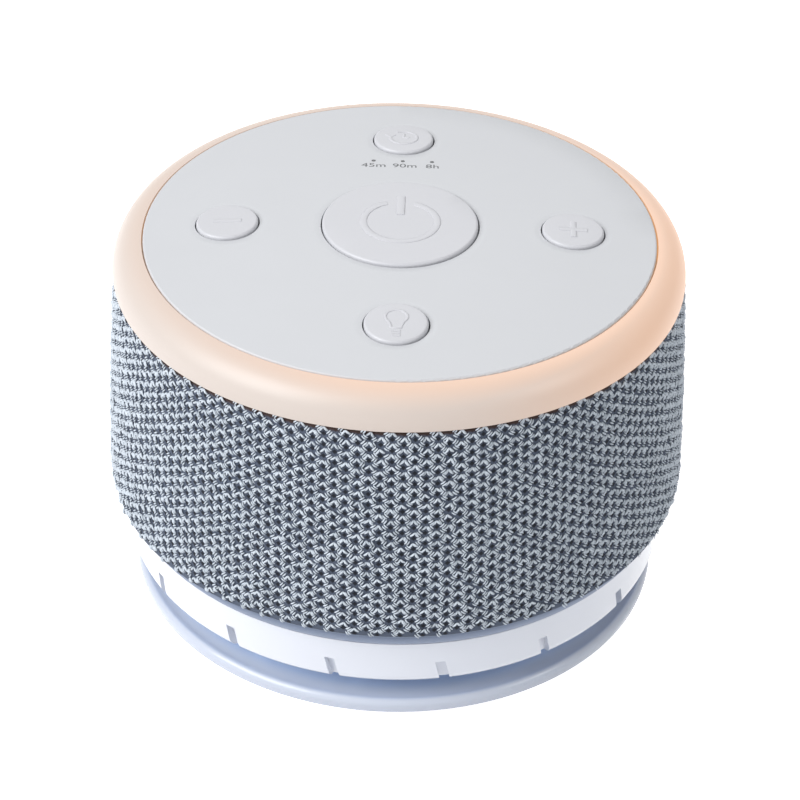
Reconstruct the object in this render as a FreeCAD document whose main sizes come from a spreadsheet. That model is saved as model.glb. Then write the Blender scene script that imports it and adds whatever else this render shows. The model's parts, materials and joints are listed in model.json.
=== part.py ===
import FreeCAD, Part
import math
import os
import re
import Sketcher

# A fan sound machine: a squat fabric-wrapped drum on a flared foot, with a lit ring and five
# push buttons on top and a twisting tone collar at the bottom.
# Row frame: origin on the table under the middle, +Z up, front towards -Y.

Vector = FreeCAD.Vector

# Driving sizes in millimetres and degrees
SIZES = [
    ("running_gap", 0.3, "gap between the collar and what it turns past"),
    ("seam_gap", 0.2, "gap at every seam of the casing"),
    ("fit_gap", 0.05, "radial clearance of a shaft or a screw in its hole"),
    ("foot_radius", 6.0, "rubber foot"),
    ("foot_height", 3.0, "rubber foot, whole height"),
    ("foot_sink", 2.0, "depth of a foot in its pocket, from the rim's lower edge"),
    ("foot_count", 4, "rubber feet"),
    ("tread_height", 0.5, "smaller tread under each foot"),
    ("base_inset", 1.4, "base rim, inside the collar's outside"),
    ("base_taper", 0.3, "how far the rim's lower edge lies inside its widest line"),
    ("rim_height", 3.6, "base rim wall"),
    ("rim_widest", 1.6, "height of the rim's widest line above its lower edge"),
    ("rim_out", 0.25, "place of the middle of the rim's curves, as a share of their width"),
    ("rim_up", 0.3, "place of the middle of the rim's upper curve, as a share of its height"),
    ("rim_round", 1.4, "rounding of the rim's top edge"),
    ("base_hollow", 0.8, "hollow under the base inside its rim"),
    ("rim_land", 6.0, "flat ring under the rim"),
    ("floor_thick", 2.0, "floor of the base"),
    ("neck_height", 11.0, "neck top above the rim's lower edge"),
    ("neck_shoulder", 2.0, "shoulder outside the port ring that holds the collar up"),
    ("flare_height", 3.6, "height of the concave flare over the rim"),
    ("flare_out", 0.34, "place of the flare's middle, as a share of its width"),
    ("flare_up", 0.24, "place of the flare's middle, as a share of its height"),
    ("notch_width", 13.0, "notch in the base for the power plug"),
    ("intake_inner", 15.0, "intake slots, inner end"),
    ("intake_margin", 3.0, "from the intake slots' outer end to the feet"),
    ("intake_width", 3.2, "intake slot"),
    ("intake_count", 20, "intake slots"),
    ("screw_inset", 3.0, "case screws, inside the case's bore"),
    ("screw_count", 4, "case screws"),
    ("screw_radius", 1.5, "case screw shank"),
    ("screw_head", 2.9, "case screw head radius"),
    ("screw_head_height", 2.0, "case screw head"),
    ("screw_bite", 12.0, "case screw length in the shell's post"),
    ("pilot_room", 0.6, "room past a screw's end in its pilot hole"),
    ("base_boss", 4.4, "screw boss in the base"),
    ("case_boss", 3.2, "screw boss in the lower housing and post in the shell"),
    ("jack_width", 9.0, "power inlet body"),
    ("jack_length", 12.0, "power inlet body"),
    ("jack_height", 7.0, "power inlet body"),
    ("jack_nose", 3.4, "power inlet nose radius"),
    ("jack_bore", 2.75, "power inlet hole radius"),
    ("jack_pin", 1.0, "power inlet centre pin radius"),
    ("jack_depth", 9.0, "power inlet hole"),
    ("jack_gap", 0.4, "power inlet body to the case's bore"),
    ("port_ring_wall", 2.2, "port ring and neck wall"),
    ("port_lift", 2.0, "lower edge of the ports above the neck"),
    ("port_height", 6.5, "sound ports"),
    ("port_width", 13.6, "sound port, across"),
    ("port_count", 12, "sound ports"),
    ("collar_inset", 0.2, "tone collar, inside the lip's lower edge"),
    ("collar_wall", 4.4, "tone collar skirt"),
    ("collar_height", 13.0, "tone collar skirt, visible height"),
    ("collar_round", 3.2, "rounding of the collar's lower outer edge"),
    ("collar_web", 2.2, "web between the collar's skirt and tube"),
    ("tube_wall", 2.0, "wall of the collar's inner tube"),
    ("sound_gap", 5.0, "sound channel between the collar's skirt and tube"),
    ("skirt_drop", 1.1, "collar skirt below its tube's lower edge"),
    ("grip_count", 16, "grip notches round the collar"),
    ("grip_width", 2.5, "grip notch"),
    ("grip_depth", 1.3, "grip notch"),
    ("grip_height", 7.0, "grip notch, from the collar's lower edge"),
    ("grip_lean", 1.9, "sideways lean of a grip notch over its height"),
    ("deck_thick", 2.5, "deck of the lower housing"),
    ("deck_hole", 22.0, "hole in the deck under the motor"),
    ("lip_inset", 0.5, "lip under the fabric, inside the fabric's lower edge"),
    ("lip_flare", 2.2, "how far the lip widens from its lower edge"),
    ("lip_out", 0.7, "place of the lip's middle, as a share of its width"),
    ("lip_height", 5.05, "lip"),
    ("lip_ridge", 1.2, "fine ridge below the fabric's edge"),
    ("lip_step", 0.35, "step under the ridge"),
    ("spigot_height", 2.8, "ring that locates the shell on the lower housing"),
    ("spigot_wall", 2.0, "the same ring's wall"),
    ("sleeve_max_radius", 73.2, "fabric, widest, which every radius of the casing follows"),
    ("sleeve_top_inset", 2.8, "fabric's upper edge, inside its widest line"),
    ("sleeve_low_inset", 1.4, "fabric's lower edge, inside its widest line"),
    ("sleeve_bulge", 0.3, "how far the fabric's side bows outwards"),
    ("sleeve_height", 58.55, "fabric"),
    ("sleeve_turn", 5.6, "height over which the fabric turns in at the bottom"),
    ("turn_out", 0.84, "place of the turn's middle, as a share of its width"),
    ("turn_up", 0.42, "place of the turn's middle, as a share of its height"),
    ("fabric_thick", 0.9, "knit fabric"),
    ("shell_wall", 1.8, "housing shell"),
    ("vent_count", 24, "vent columns in the shell under the fabric"),
    ("vent_width", 4.0, "vent"),
    ("vent_height", 14.0, "vent"),
    ("vent_low", 12.0, "lowest vents above the shell's lower edge"),
    ("vent_gap", 6.0, "between the two rows of vents"),
    ("ring_height", 8.7, "light ring, visible height"),
    ("ring_width", 7.2, "light ring, seen from above"),
    ("ring_out", 0.7, "place of the ring's middle, as a share of its width"),
    ("ring_up", 0.735, "place of the ring's middle, as a share of its height"),
    ("ring_wall", 2.0, "light ring"),
    ("ring_skirt", 1.6, "light ring's skirt inside the shell"),
    ("shelf_drop", 6.5, "LED shelf below the light ring's edge"),
    ("shelf_thick", 2.0, "upper deck of the shell"),
    ("well_gap", 0.3, "light ring to the wall inside it"),
    ("well_wall", 1.7, "wall between the light ring and the control board"),
    ("led_board_thick", 1.2, "LED board"),
    ("led_size", 1.6, "LED"),
    ("led_height", 0.8, "LED"),
    ("led_count", 24, "night light LEDs"),
    ("panel_thick", 2.0, "top panel"),
    ("panel_proud", 0.3, "top panel's edge above the light ring"),
    ("panel_dome", 2.4, "rise of the panel's middle above its edge"),
    ("panel_gap", 0.35, "gap between the panel and the light ring"),
    ("panel_skirt", 1.2, "locating ring under the panel"),
    ("panel_skirt_depth", 2.0, "the same ring's depth"),
    ("panel_round", 0.5, "rounding of the panel's edge"),
    ("board_standoff", 4.4, "control board above the upper deck"),
    ("board_thick", 1.6, "control board"),
    ("board_room", 3.8, "control board to the panel's locating ring"),
    ("board_screw_inset", 6.0, "control board screws, inside its edge"),
    ("board_screw_count", 4, "control board screws"),
    ("board_screw_bite", 3.4, "control board screw length in its boss"),
    ("hole_play", 0.2, "extra radius of a through hole"),
    ("small_screw", 1.0, "small screw shank radius"),
    ("small_head", 2.2, "small screw head radius"),
    ("small_head_height", 1.4, "small screw head"),
    ("small_boss", 2.8, "small screw boss"),
    ("button_inset", 20.55, "four small buttons, inside the panel's edge"),
    ("small_button", 7.6, "small button radius"),
    ("power_button", 19.1, "power button radius"),
    ("button_gap", 0.35, "gap round each button"),
    ("button_proud", 0.9, "button above the panel"),
    ("button_edge", 0.7, "rounding of a button's edge"),
    ("button_wall", 1.3, "wall of the hollow button"),
    ("button_flange", 1.1, "flange that keeps a button under the panel"),
    ("flange_thick", 1.0, "button flange"),
    ("button_travel", 0.6, "button travel"),
    ("button_boss", 2.2, "boss under a button"),
    ("switch_size", 6.0, "push switch"),
    ("switch_height", 3.4, "push switch body"),
    ("plunger_radius", 1.6, "push switch plunger"),
    ("plunger_reach", 1.2, "plunger above its switch"),
    ("plunger_root", 0.8, "plunger inside its switch"),
    ("plunger_play", 0.2, "room under a pressed plunger"),
    ("chip_size", 9.0, "controller chip"),
    ("chip_height", 1.2, "controller chip"),
    ("chip_place", 20.0, "controller chip's corner, right of and before the middle"),
    ("capacitor_radius", 2.5, "smoothing capacitor"),
    ("capacitor_height", 4.5, "smoothing capacitor"),
    ("capacitor_x", 27.0, "smoothing capacitors, left of the middle"),
    ("capacitor_y", 14.0, "first smoothing capacitor, behind the middle"),
    ("capacitor_spacing", 6.0, "smoothing capacitors, apart"),
    ("pipe_radius", 0.5, "timer light pipe"),
    ("pipe_foot", 1.4, "timer light pipe's foot"),
    ("pipe_spacing", 7.4, "timer light pipes, apart"),
    ("pipe_inset", 11.2, "timer light pipes, before the timer button's middle"),
    ("isolator_radius", 4.5, "rubber motor mount"),
    ("isolator_height", 3.0, "rubber motor mount"),
    ("isolator_circle", 28.0, "rubber motor mounts, distance from the middle"),
    ("isolator_count", 3, "rubber motor mounts"),
    ("isolator_bite", 1.4, "motor mount screw length in the deck"),
    ("plate_radius", 33.0, "motor plate"),
    ("plate_thick", 1.5, "motor plate"),
    ("can_radius", 14.0, "motor can"),
    ("can_height", 22.0, "motor can"),
    ("can_wall", 1.0, "motor can"),
    ("magnet_thick", 1.9, "motor magnets"),
    ("magnet_height", 14.0, "motor magnets"),
    ("magnet_span", 60, "half the angle that a magnet covers"),
    ("magnet_count", 2, "motor magnets"),
    ("air_gap", 0.6, "armature to magnets"),
    ("armature_height", 12.0, "armature core"),
    ("slot_count", 5, "armature slots"),
    ("slot_width", 2.4, "armature slot"),
    ("slot_floor", 5.0, "armature slot, inner end"),
    ("winding_rise", 2.4, "windings above and below the core"),
    ("winding_inset", 1.0, "windings, inside the core's edge and round its slots' floor"),
    ("commutator_radius", 2.8, "commutator"),
    ("commutator_height", 2.0, "commutator"),
    ("shaft_radius", 1.2, "motor shaft"),
    ("shaft_end", 0.6, "motor shaft past its upper bush"),
    ("shaft_play", 0.3, "room past the shaft's end"),
    ("bush_radius", 3.0, "motor bush"),
    ("bush_height", 3.0, "motor bush"),
    ("bush_room", 0.6, "motor plate's hole round the bush"),
    ("end_cap_thick", 2.0, "motor end cap"),
    ("end_cap_boss", 4.6, "motor end cap's boss"),
    ("end_cap_crown", 0.9, "end cap over the shaft's end"),
    ("motor_screw_circle", 9.0, "motor screws, from the shaft"),
    ("motor_screw_count", 2, "motor screws"),
    ("motor_screw_past", 0.4, "motor screw past the can's floor"),
    ("impeller_gap", 1.7, "impeller below the deck"),
    ("impeller_room", 1.1, "impeller to the screw bosses"),
    ("impeller_height", 9.0, "impeller"),
    ("impeller_plate", 1.2, "impeller's plate and rim ring"),
    ("impeller_ring", 5.0, "width of the impeller's rim ring"),
    ("hub_radius", 5.0, "impeller hub"),
    ("blade_count", 11, "impeller blades"),
    ("blade_thick", 1.3, "impeller blade"),
    ("blade_root", 18.0, "impeller blades, inner end"),
    ("blade_sweep", 12.0, "how far a blade's tip trails its root"),
    ("blade_bow", 0.22, "sweep at a blade's middle, as a share of the whole"),
    ("blade_margin", 2.3, "blade tips, inside the impeller's edge"),
    ("blade_slant", 0.8, "slant of a blade's tip"),
    ("lead_radius", 1.2, "inner leads"),
    ("lead_hole", 2.2, "holes that the leads pass through"),
    ("lead_inset", 3.8, "power lead, before the inlet body's front"),
    ("motor_lead_x", 20.0, "motor lead at the upper deck, to the right"),
    ("motor_lead_y", 24.0, "motor lead at the upper deck, to the back"),
    ("overcut", 1.0, "how far a cut starts or ends outside its piece"),
]
NAMES = {name for name, value, note in SIZES}

# Heights above the table, each worked out from the sizes below it
BASE_LOW = "(foot_height - foot_sink)"
UNDERSIDE = f"({BASE_LOW} + base_hollow)"
FLOOR_TOP = f"({UNDERSIDE} + floor_thick)"
RIM_TOP = f"({BASE_LOW} + rim_height)"
NECK_TOP = f"({BASE_LOW} + neck_height)"
TUBE_FOOT = f"({NECK_TOP} + running_gap)"
COLLAR_LOW = f"({TUBE_FOOT} - skirt_drop)"
COLLAR_TOP = f"({COLLAR_LOW} + collar_height)"
DECK_LOW = f"({COLLAR_TOP} + running_gap)"
DECK_TOP = f"({DECK_LOW} + deck_thick)"
LIP_TOP = f"({DECK_LOW} + lip_height)"
FABRIC_LOW = f"({LIP_TOP} + seam_gap)"
FABRIC_WIDE = f"({FABRIC_LOW} + sleeve_turn)"
FABRIC_TOP = f"({FABRIC_LOW} + sleeve_height)"
RING_LOW = f"({FABRIC_TOP} + seam_gap)"
RING_TOP = f"({RING_LOW} + ring_height)"
PANEL_TOP = f"({RING_TOP} + panel_proud)"
PANEL_LOW = f"({PANEL_TOP} - panel_thick)"
SHELF_TOP = f"({RING_LOW} - shelf_drop)"
SHELF_LOW = f"({SHELF_TOP} - shelf_thick)"
LED_BOARD_TOP = f"({SHELF_TOP} + led_board_thick)"
BOARD_LOW = f"({SHELF_TOP} + board_standoff)"
BOARD_TOP = f"({BOARD_LOW} + board_thick)"
SWITCH_TOP = f"({BOARD_TOP} + switch_height)"
PLUNGER_TOP = f"({SWITCH_TOP} + plunger_reach)"
PANEL_CREST = f"({PANEL_TOP} + panel_dome)"
CAP_CREST = f"({PANEL_CREST} + button_proud)"
PLATE_LOW = f"({DECK_TOP} + isolator_height)"
PLATE_TOP = f"({PLATE_LOW} + plate_thick)"
CAN_TOP = f"({PLATE_TOP} + can_height)"
END_CAP_TOP = f"({CAN_TOP} + end_cap_thick)"
CORE_LOW = f"({PLATE_TOP} + can_height / 2 - armature_height / 2)"
CORE_TOP = f"({CORE_LOW} + armature_height)"
IMPELLER_TOP = f"({DECK_LOW} - impeller_gap)"
IMPELLER_LOW = f"({IMPELLER_TOP} - impeller_height)"

# Radii, from the fabric inwards, each worked out from the one outside it
FABRIC_FOOT = "(sleeve_max_radius - sleeve_low_inset)"
FABRIC_EDGE = "(sleeve_max_radius - sleeve_top_inset)"
RING_INNER = f"({FABRIC_EDGE} - ring_width)"
LIP_RADIUS = f"({FABRIC_FOOT} - lip_inset)"
LIP_FOOT = f"({LIP_RADIUS} - lip_flare)"
COLLAR_RADIUS = f"({LIP_FOOT} - collar_inset)"
COLLAR_INSIDE = f"({COLLAR_RADIUS} - collar_wall)"
TUBE_OUTSIDE = f"({COLLAR_INSIDE} - sound_gap)"
TUBE_BORE = f"({TUBE_OUTSIDE} - tube_wall)"
PORT_RING = f"({TUBE_BORE} - running_gap)"
CASE_BORE = f"({PORT_RING} - port_ring_wall)"
BASE_RADIUS = f"({COLLAR_RADIUS} - base_inset)"
NECK_RADIUS = f"({PORT_RING} + neck_shoulder)"
SCREW_CIRCLE = f"({CASE_BORE} - screw_inset)"
FOOT_CIRCLE = f"({CASE_BORE} - foot_radius)"
IMPELLER_RADIUS = f"({SCREW_CIRCLE} - base_boss - impeller_room)"
JACK_FACE = f"({NECK_RADIUS} - seam_gap)"
JACK_FRONT = f"({CASE_BORE} - jack_gap)"
LEAD_LINE = f"({JACK_FRONT} - lead_inset)"
SHELL_INSET = "(fabric_thick + seam_gap)"
SHELL_INNER = f"({SHELL_INSET} + shell_wall)"
SHELL_FOOT_BORE = f"({FABRIC_FOOT} - {SHELL_INNER})"
SHELL_TOP_BORE = f"({FABRIC_EDGE} - {SHELL_INNER})"
SPIGOT_OUTSIDE = f"({SHELL_FOOT_BORE} - seam_gap)"
SKIRT_OUTSIDE = f"({SHELL_TOP_BORE} - seam_gap)"
SKIRT_INSIDE = f"({SKIRT_OUTSIDE} - ring_skirt)"
WELL_OUTSIDE = f"({RING_INNER} - well_gap)"
WELL_INSIDE = f"({WELL_OUTSIDE} - well_wall)"
LED_CIRCLE = f"(({WELL_OUTSIDE} + {SKIRT_INSIDE}) / 2)"
PANEL_RADIUS = f"({RING_INNER} - panel_gap)"
PANEL_SKIRT = f"({WELL_INSIDE} - seam_gap)"
BOARD_RADIUS = f"({PANEL_SKIRT} - panel_skirt - board_room)"
BOARD_SCREW_CIRCLE = f"({BOARD_RADIUS} - board_screw_inset)"
BUTTON_CIRCLE = f"({PANEL_RADIUS} - button_inset)"
PIPE_LINE = f"({BUTTON_CIRCLE} - pipe_inset)"
PIPE_REACH = f"sqrt({PIPE_LINE}^2 + pipe_spacing^2)"
SHAFT_BORE = "(shaft_radius + fit_gap)"
MAGNET_OUTSIDE = "(can_radius - can_wall - fit_gap)"
MAGNET_INSIDE = f"({MAGNET_OUTSIDE} - magnet_thick)"
CORE_RADIUS = f"({MAGNET_INSIDE} - air_gap)"

# More heights
JACK_AXIS = f"({FLOOR_TOP} + jack_height / 2)"
PORT_TOP = f"({NECK_TOP} + port_lift + port_height)"
WINDING_TOP = f"({CORE_TOP} + winding_rise)"
SHAFT_TOP = f"({CAN_TOP} + bush_height + shaft_end)"

# The panel's top is part of a sphere
DIAGONAL = "sqrt(0.5)"
DOME_EDGE = f"({PANEL_RADIUS} - panel_round)"
DOME_SPHERE = f"(({DOME_EDGE}^2 + panel_dome^2) / (2 * panel_dome))"

doc = FreeCAD.newDocument("SoundMachine")
sheet = doc.addObject("Spreadsheet::Sheet", "Sizes")
for row, (name, value, note) in enumerate(SIZES, start=1):
    sheet.set(f"A{row}", name)
    sheet.set(f"B{row}", str(value))
    sheet.set(f"C{row}", note)
    sheet.setAlias(f"B{row}", name)
doc.recompute()

subparts = []


def bound(text):
    """The expression with every size name pointed at the sheet."""
    return re.sub(r"[a-z][a-z_]+", lambda word: "Sizes." + word.group()
                  if word.group() in NAMES else word.group(), text)


def number(text):
    """The expression's value now."""
    return float(sheet.evalExpression(bound(text)))


def tie(thing, path, text):
    """Binds one property of an object to an expression."""
    thing.setExpression(path, bound(text))


def new_body(label):
    """An empty body that becomes one sub-part."""
    body = doc.addObject("PartDesign::Body", label)
    body.Label = label
    body.AllowCompound = True
    subparts.append(body)
    return body


def origin_part(body, role):
    """An origin plane or axis of the body."""
    return next(item for item in body.Origin.OriginFeatures if item.Role == role)


def sketch_on(body, name, role, lift="0", turn="0"):
    """A sketch on an origin plane, moved along the plane's normal and turned in the plane."""
    sketch = body.newObject("Sketcher::SketchObject", f"{body.Name}_{name}")
    sketch.AttachmentSupport = (origin_part(body, role), [""])
    sketch.MapMode = "FlatFace"
    sketch.AttachmentOffset = FreeCAD.Placement(
        Vector(0, 0, number(lift)), FreeCAD.Rotation(Vector(0, 0, 1), number(turn)))
    tie(sketch, "AttachmentOffset.Base.z", lift)
    tie(sketch, "AttachmentOffset.Rotation.Angle", turn)
    return sketch


def plan(body, name, lift="0", turn="0"):
    """A sketch seen from above at a height."""
    return sketch_on(body, name, "XY_Plane", lift, turn)


def facing(body, name, out, turn):
    """An upright sketch that faces the drum from outside, turned round it from the front."""
    across, forward = f"({out}) * sin({turn})", f"({out}) * cos({turn})"
    sketch = sketch_on(body, name, "XZ_Plane", forward)
    sketch.AttachmentOffset = FreeCAD.Placement(
        Vector(number(across), 0, number(forward)),
        FreeCAD.Rotation(Vector(0, 1, 0), number(turn)))
    tie(sketch, "AttachmentOffset.Base.x", across)
    tie(sketch, "AttachmentOffset.Rotation.Angle", turn)
    return sketch


def section(body, name):
    """A sketch of a round piece's section: radius to the right, height upwards."""
    return sketch_on(body, name, "XZ_Plane")


def place_point(sketch, geometry, point, across, upward):
    """Ties a sketch point to a place given by two expressions."""
    for kind, axis, text in (("DistanceX", -2, across), ("DistanceY", -1, upward)):
        if text == "0":
            sketch.addConstraint(Sketcher.Constraint("PointOnObject", geometry, point, axis))
            continue
        index = sketch.addConstraint(
            Sketcher.Constraint(kind, -1, 1, geometry, point, number(text)))
        tie(sketch, f"Constraints[{index}]", text)


def outline(sketch, corners):
    """A closed line through the corners. A corner of four ends an arc through its last two."""
    spots = [Vector(number(corner[0]), number(corner[1]), 0) for corner in corners]
    ends = []
    for index, corner in enumerate(corners):
        start, end = spots[index - 1], spots[index]
        if len(corner) == 2:
            side = sketch.addGeometry(Part.LineSegment(start, end), False)
            ends.append((side, 1, 2))
            continue
        via = Vector(number(corner[2]), number(corner[3]), 0)
        leftward = (via - start).cross(end - via).z > 0
        order = (start, via, end) if leftward else (end, via, start)
        side = sketch.addGeometry(Part.Arc(*order), False)
        mark = sketch.addGeometry(Part.Point(via), True)
        sketch.addConstraint(Sketcher.Constraint("PointOnObject", mark, 1, side))
        place_point(sketch, mark, 1, corner[2], corner[3])
        ends.append((side, 1, 2) if leftward else (side, 2, 1))
    for index, corner in enumerate(corners):
        side, first, last = ends[index]
        following = ends[(index + 1) % len(ends)]
        sketch.addConstraint(
            Sketcher.Constraint("Coincident", side, last, following[0], following[1]))
        place_point(sketch, side, last, corner[0], corner[1])


def circle(sketch, radius, across="0", upward="0"):
    """A circle whose middle and radius are tied."""
    middle = Vector(number(across), number(upward), 0)
    ring = sketch.addGeometry(Part.Circle(middle, Vector(0, 0, 1), number(radius)), False)
    if across == "0" and upward == "0":
        sketch.addConstraint(Sketcher.Constraint("Coincident", ring, 3, -1, 1))
    else:
        place_point(sketch, ring, 3, across, upward)
    index = sketch.addConstraint(Sketcher.Constraint("Radius", ring, number(radius)))
    tie(sketch, f"Constraints[{index}]", radius)


def rectangle(sketch, left, right, low, high):
    """An upright rectangle between four tied lines."""
    outline(sketch, [(left, low), (right, low), (right, high), (left, high)])


def pad(body, name, sketch, length):
    """Material from the sketch along its normal."""
    feature = body.newObject("PartDesign::Pad", f"{body.Name}_{name}")
    feature.Profile = sketch
    tie(feature, "Length", length)
    return feature


def pocket(body, name, sketch, length, backwards=False):
    """A cut from the sketch against its normal, which has to take something away."""
    doc.recompute()
    before = body.Shape.Volume
    feature = body.newObject("PartDesign::Pocket", f"{body.Name}_{name}")
    feature.Profile = sketch
    feature.Reversed = backwards
    tie(feature, "Length", length)
    doc.recompute()
    if body.Shape.Volume >= before:
        raise RuntimeError(f"{body.Label}: {name} cuts nothing")
    return feature


def revolve(body, name, sketch):
    """A round piece from its section."""
    feature = body.newObject("PartDesign::Revolution", f"{body.Name}_{name}")
    feature.Profile = sketch
    feature.ReferenceAxis = (sketch, ["V_Axis"])
    feature.Angle = 360
    return feature


def repeat(body, features, count):
    """The features repeated round the vertical axis."""
    pattern = body.newObject("PartDesign::PolarPattern", f"{body.Name}_{features[0].Name}_round")
    pattern.Originals = features
    pattern.Axis = (origin_part(body, "Z_Axis"), [""])
    pattern.Angle = 360
    tie(pattern, "Occurrences", count)
    body.Tip = pattern
    doc.recompute()
    return pattern


def round_piece(label, corners):
    """A body that is one revolved section."""
    body = new_body(label)
    sketch = section(body, "section")
    outline(sketch, corners)
    revolve(body, "turned", sketch)
    return body


def move_to(thing, across="0", backward="0", lift="0"):
    """Places a piece that is drawn about its own axis."""
    for side, text in (("x", across), ("y", backward), ("z", lift)):
        tie(thing, f"Placement.Base.{side}", text)


def diagonal(radius_text):
    """A place on the diagonal, as the two expressions that a circle takes."""
    return f"({radius_text} * {DIAGONAL})", f"({radius_text} * {DIAGONAL})"


def part_way(start, end, share):
    """The place at a share of the way between two expressions."""
    return f"({start} + ({end} - {start}) * {share})"


def dome(reach):
    """How far the panel's top stands above its edge at a distance from the middle."""
    return f"(sqrt({DOME_SPHERE}^2 - ({reach})^2) - {DOME_SPHERE} + panel_dome)"


# Where the five buttons stand on the panel, and the size of each one's cap
BUTTONS = {
    "power": ("0", "0", "power_button"),
    "minus": (f"(-{BUTTON_CIRCLE})", "0", "small_button"),
    "plus": (BUTTON_CIRCLE, "0", "small_button"),
    "timer": ("0", BUTTON_CIRCLE, "small_button"),
    "light": ("0", f"(-{BUTTON_CIRCLE})", "small_button"),
}


# Foot and base

def make_feet():
    """Four rubber feet with a smaller tread."""
    body = new_body("rubber_feet")
    sketch = plan(body, "outline", "tread_height")
    circle(sketch, "foot_radius", FOOT_CIRCLE)
    foot = pad(body, "foot", sketch, "foot_height - tread_height")
    lower = plan(body, "tread")
    circle(lower, "foot_radius - tread_height", FOOT_CIRCLE)
    tread = pad(body, "tread", lower, "tread_height")
    repeat(body, [foot, tread], "foot_count")


def make_base():
    """Flared foot: rim, hollow underside, neck, intake slots, screw bosses and plug notch."""
    bottom = f"({BASE_RADIUS} - base_taper)"
    crest = f"({BASE_RADIUS} - rim_round)"
    widest = f"({BASE_LOW} + rim_widest)"
    flare_top = f"({RIM_TOP} + flare_height)"
    body = round_piece("base_foot", [
        ("0", UNDERSIDE),
        (f"({bottom} - rim_land)", UNDERSIDE),
        (f"({bottom} - rim_land)", BASE_LOW),
        (bottom, BASE_LOW),
        (BASE_RADIUS, widest, part_way(BASE_RADIUS, bottom, "rim_out"), part_way(BASE_LOW, widest, 0.5)),
        (crest, RIM_TOP, part_way(BASE_RADIUS, crest, "rim_out"), part_way(RIM_TOP, widest, "rim_up")),
        (NECK_RADIUS, flare_top, part_way(NECK_RADIUS, crest, "flare_out"),
         part_way(RIM_TOP, flare_top, "flare_up")),
        (NECK_RADIUS, NECK_TOP),
        (CASE_BORE, NECK_TOP),
        (CASE_BORE, FLOOR_TOP),
        ("0", FLOOR_TOP),
    ])
    seat = f"({FLOOR_TOP} + screw_head_height)"
    bosses = plan(body, "bosses", UNDERSIDE)
    circle(bosses, "base_boss", *diagonal(SCREW_CIRCLE))
    repeat(body, [pad(body, "boss", bosses, f"{NECK_TOP} - {UNDERSIDE}")], "screw_count")
    holes = plan(body, "holes", NECK_TOP)
    circle(holes, "screw_radius + hole_play", *diagonal(SCREW_CIRCLE))
    hole = pocket(body, "hole", holes, f"{NECK_TOP} - {seat}")
    sinks = plan(body, "sinks", seat)
    circle(sinks, "screw_head + hole_play", *diagonal(SCREW_CIRCLE))
    sink = pocket(body, "sink", sinks, f"{seat} - {UNDERSIDE}")
    repeat(body, [hole, sink], "screw_count")
    pockets = plan(body, "foot_pockets", "foot_height")
    circle(pockets, "foot_radius + fit_gap", FOOT_CIRCLE)
    repeat(body, [pocket(body, "foot_pocket", pockets, "foot_sink")], "foot_count")
    slots = plan(body, "intake", FLOOR_TOP)
    half = "(intake_width / 2)"
    outer = f"({FOOT_CIRCLE} - foot_radius - intake_margin)"
    outline(slots, [
        ("intake_inner", f"(-{half})", f"intake_inner - {half}", "0"),
        (outer, f"(-{half})"),
        (outer, half, f"{outer} + {half}", "0"),
        ("intake_inner", half),
    ])
    repeat(body, [pocket(body, "intake_slot", slots, "floor_thick")], "intake_count")
    notch = plan(body, "notch", NECK_TOP)
    rectangle(notch, "(-notch_width / 2)", "(notch_width / 2)", f"{NECK_RADIUS} + seam_gap",
              f"{BASE_RADIUS} + overcut")
    pocket(body, "plug_notch", notch, "neck_height")
    nose = sketch_on(body, "nose", "XZ_Plane", f"(-({BASE_RADIUS} + overcut))")
    circle(nose, "jack_nose + fit_gap", "0", JACK_AXIS)
    pocket(body, "jack_hole", nose, f"{BASE_RADIUS} - {CASE_BORE} + overcut * 2", True)


def make_case_screws():
    """Four long screws that clamp base, lower housing and shell together."""
    body = new_body("case_screws")
    seat = f"({FLOOR_TOP} + screw_head_height)"
    heads = plan(body, "heads", FLOOR_TOP)
    circle(heads, "screw_head", *diagonal(SCREW_CIRCLE))
    head = pad(body, "head", heads, "screw_head_height")
    shanks = plan(body, "shanks", seat)
    circle(shanks, "screw_radius", *diagonal(SCREW_CIRCLE))
    shank = pad(body, "shank", shanks, f"{DECK_TOP} + screw_bite - {seat}")
    repeat(body, [head, shank], "screw_count")


def make_jack():
    """Power inlet: block, round nose through the neck, hole and centre pin."""
    body = new_body("dc_jack")
    block = plan(body, "block", FLOOR_TOP)
    rectangle(block, "(-jack_width / 2)", "(jack_width / 2)", f"{JACK_FRONT} - jack_length",
              JACK_FRONT)
    pad(body, "block_body", block, "jack_height")
    nose = sketch_on(body, "nose", "XZ_Plane", f"(-{JACK_FRONT})")
    circle(nose, "jack_nose", "0", JACK_AXIS)
    pad(body, "nose_body", nose, f"{JACK_FACE} - {JACK_FRONT}").Reversed = True
    bore = sketch_on(body, "bore", "XZ_Plane", f"(-{JACK_FACE})")
    circle(bore, "jack_bore", "0", JACK_AXIS)
    circle(bore, "jack_pin", "0", JACK_AXIS)
    pocket(body, "socket", bore, "jack_depth", True)


# Lower housing and tone collar

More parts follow.
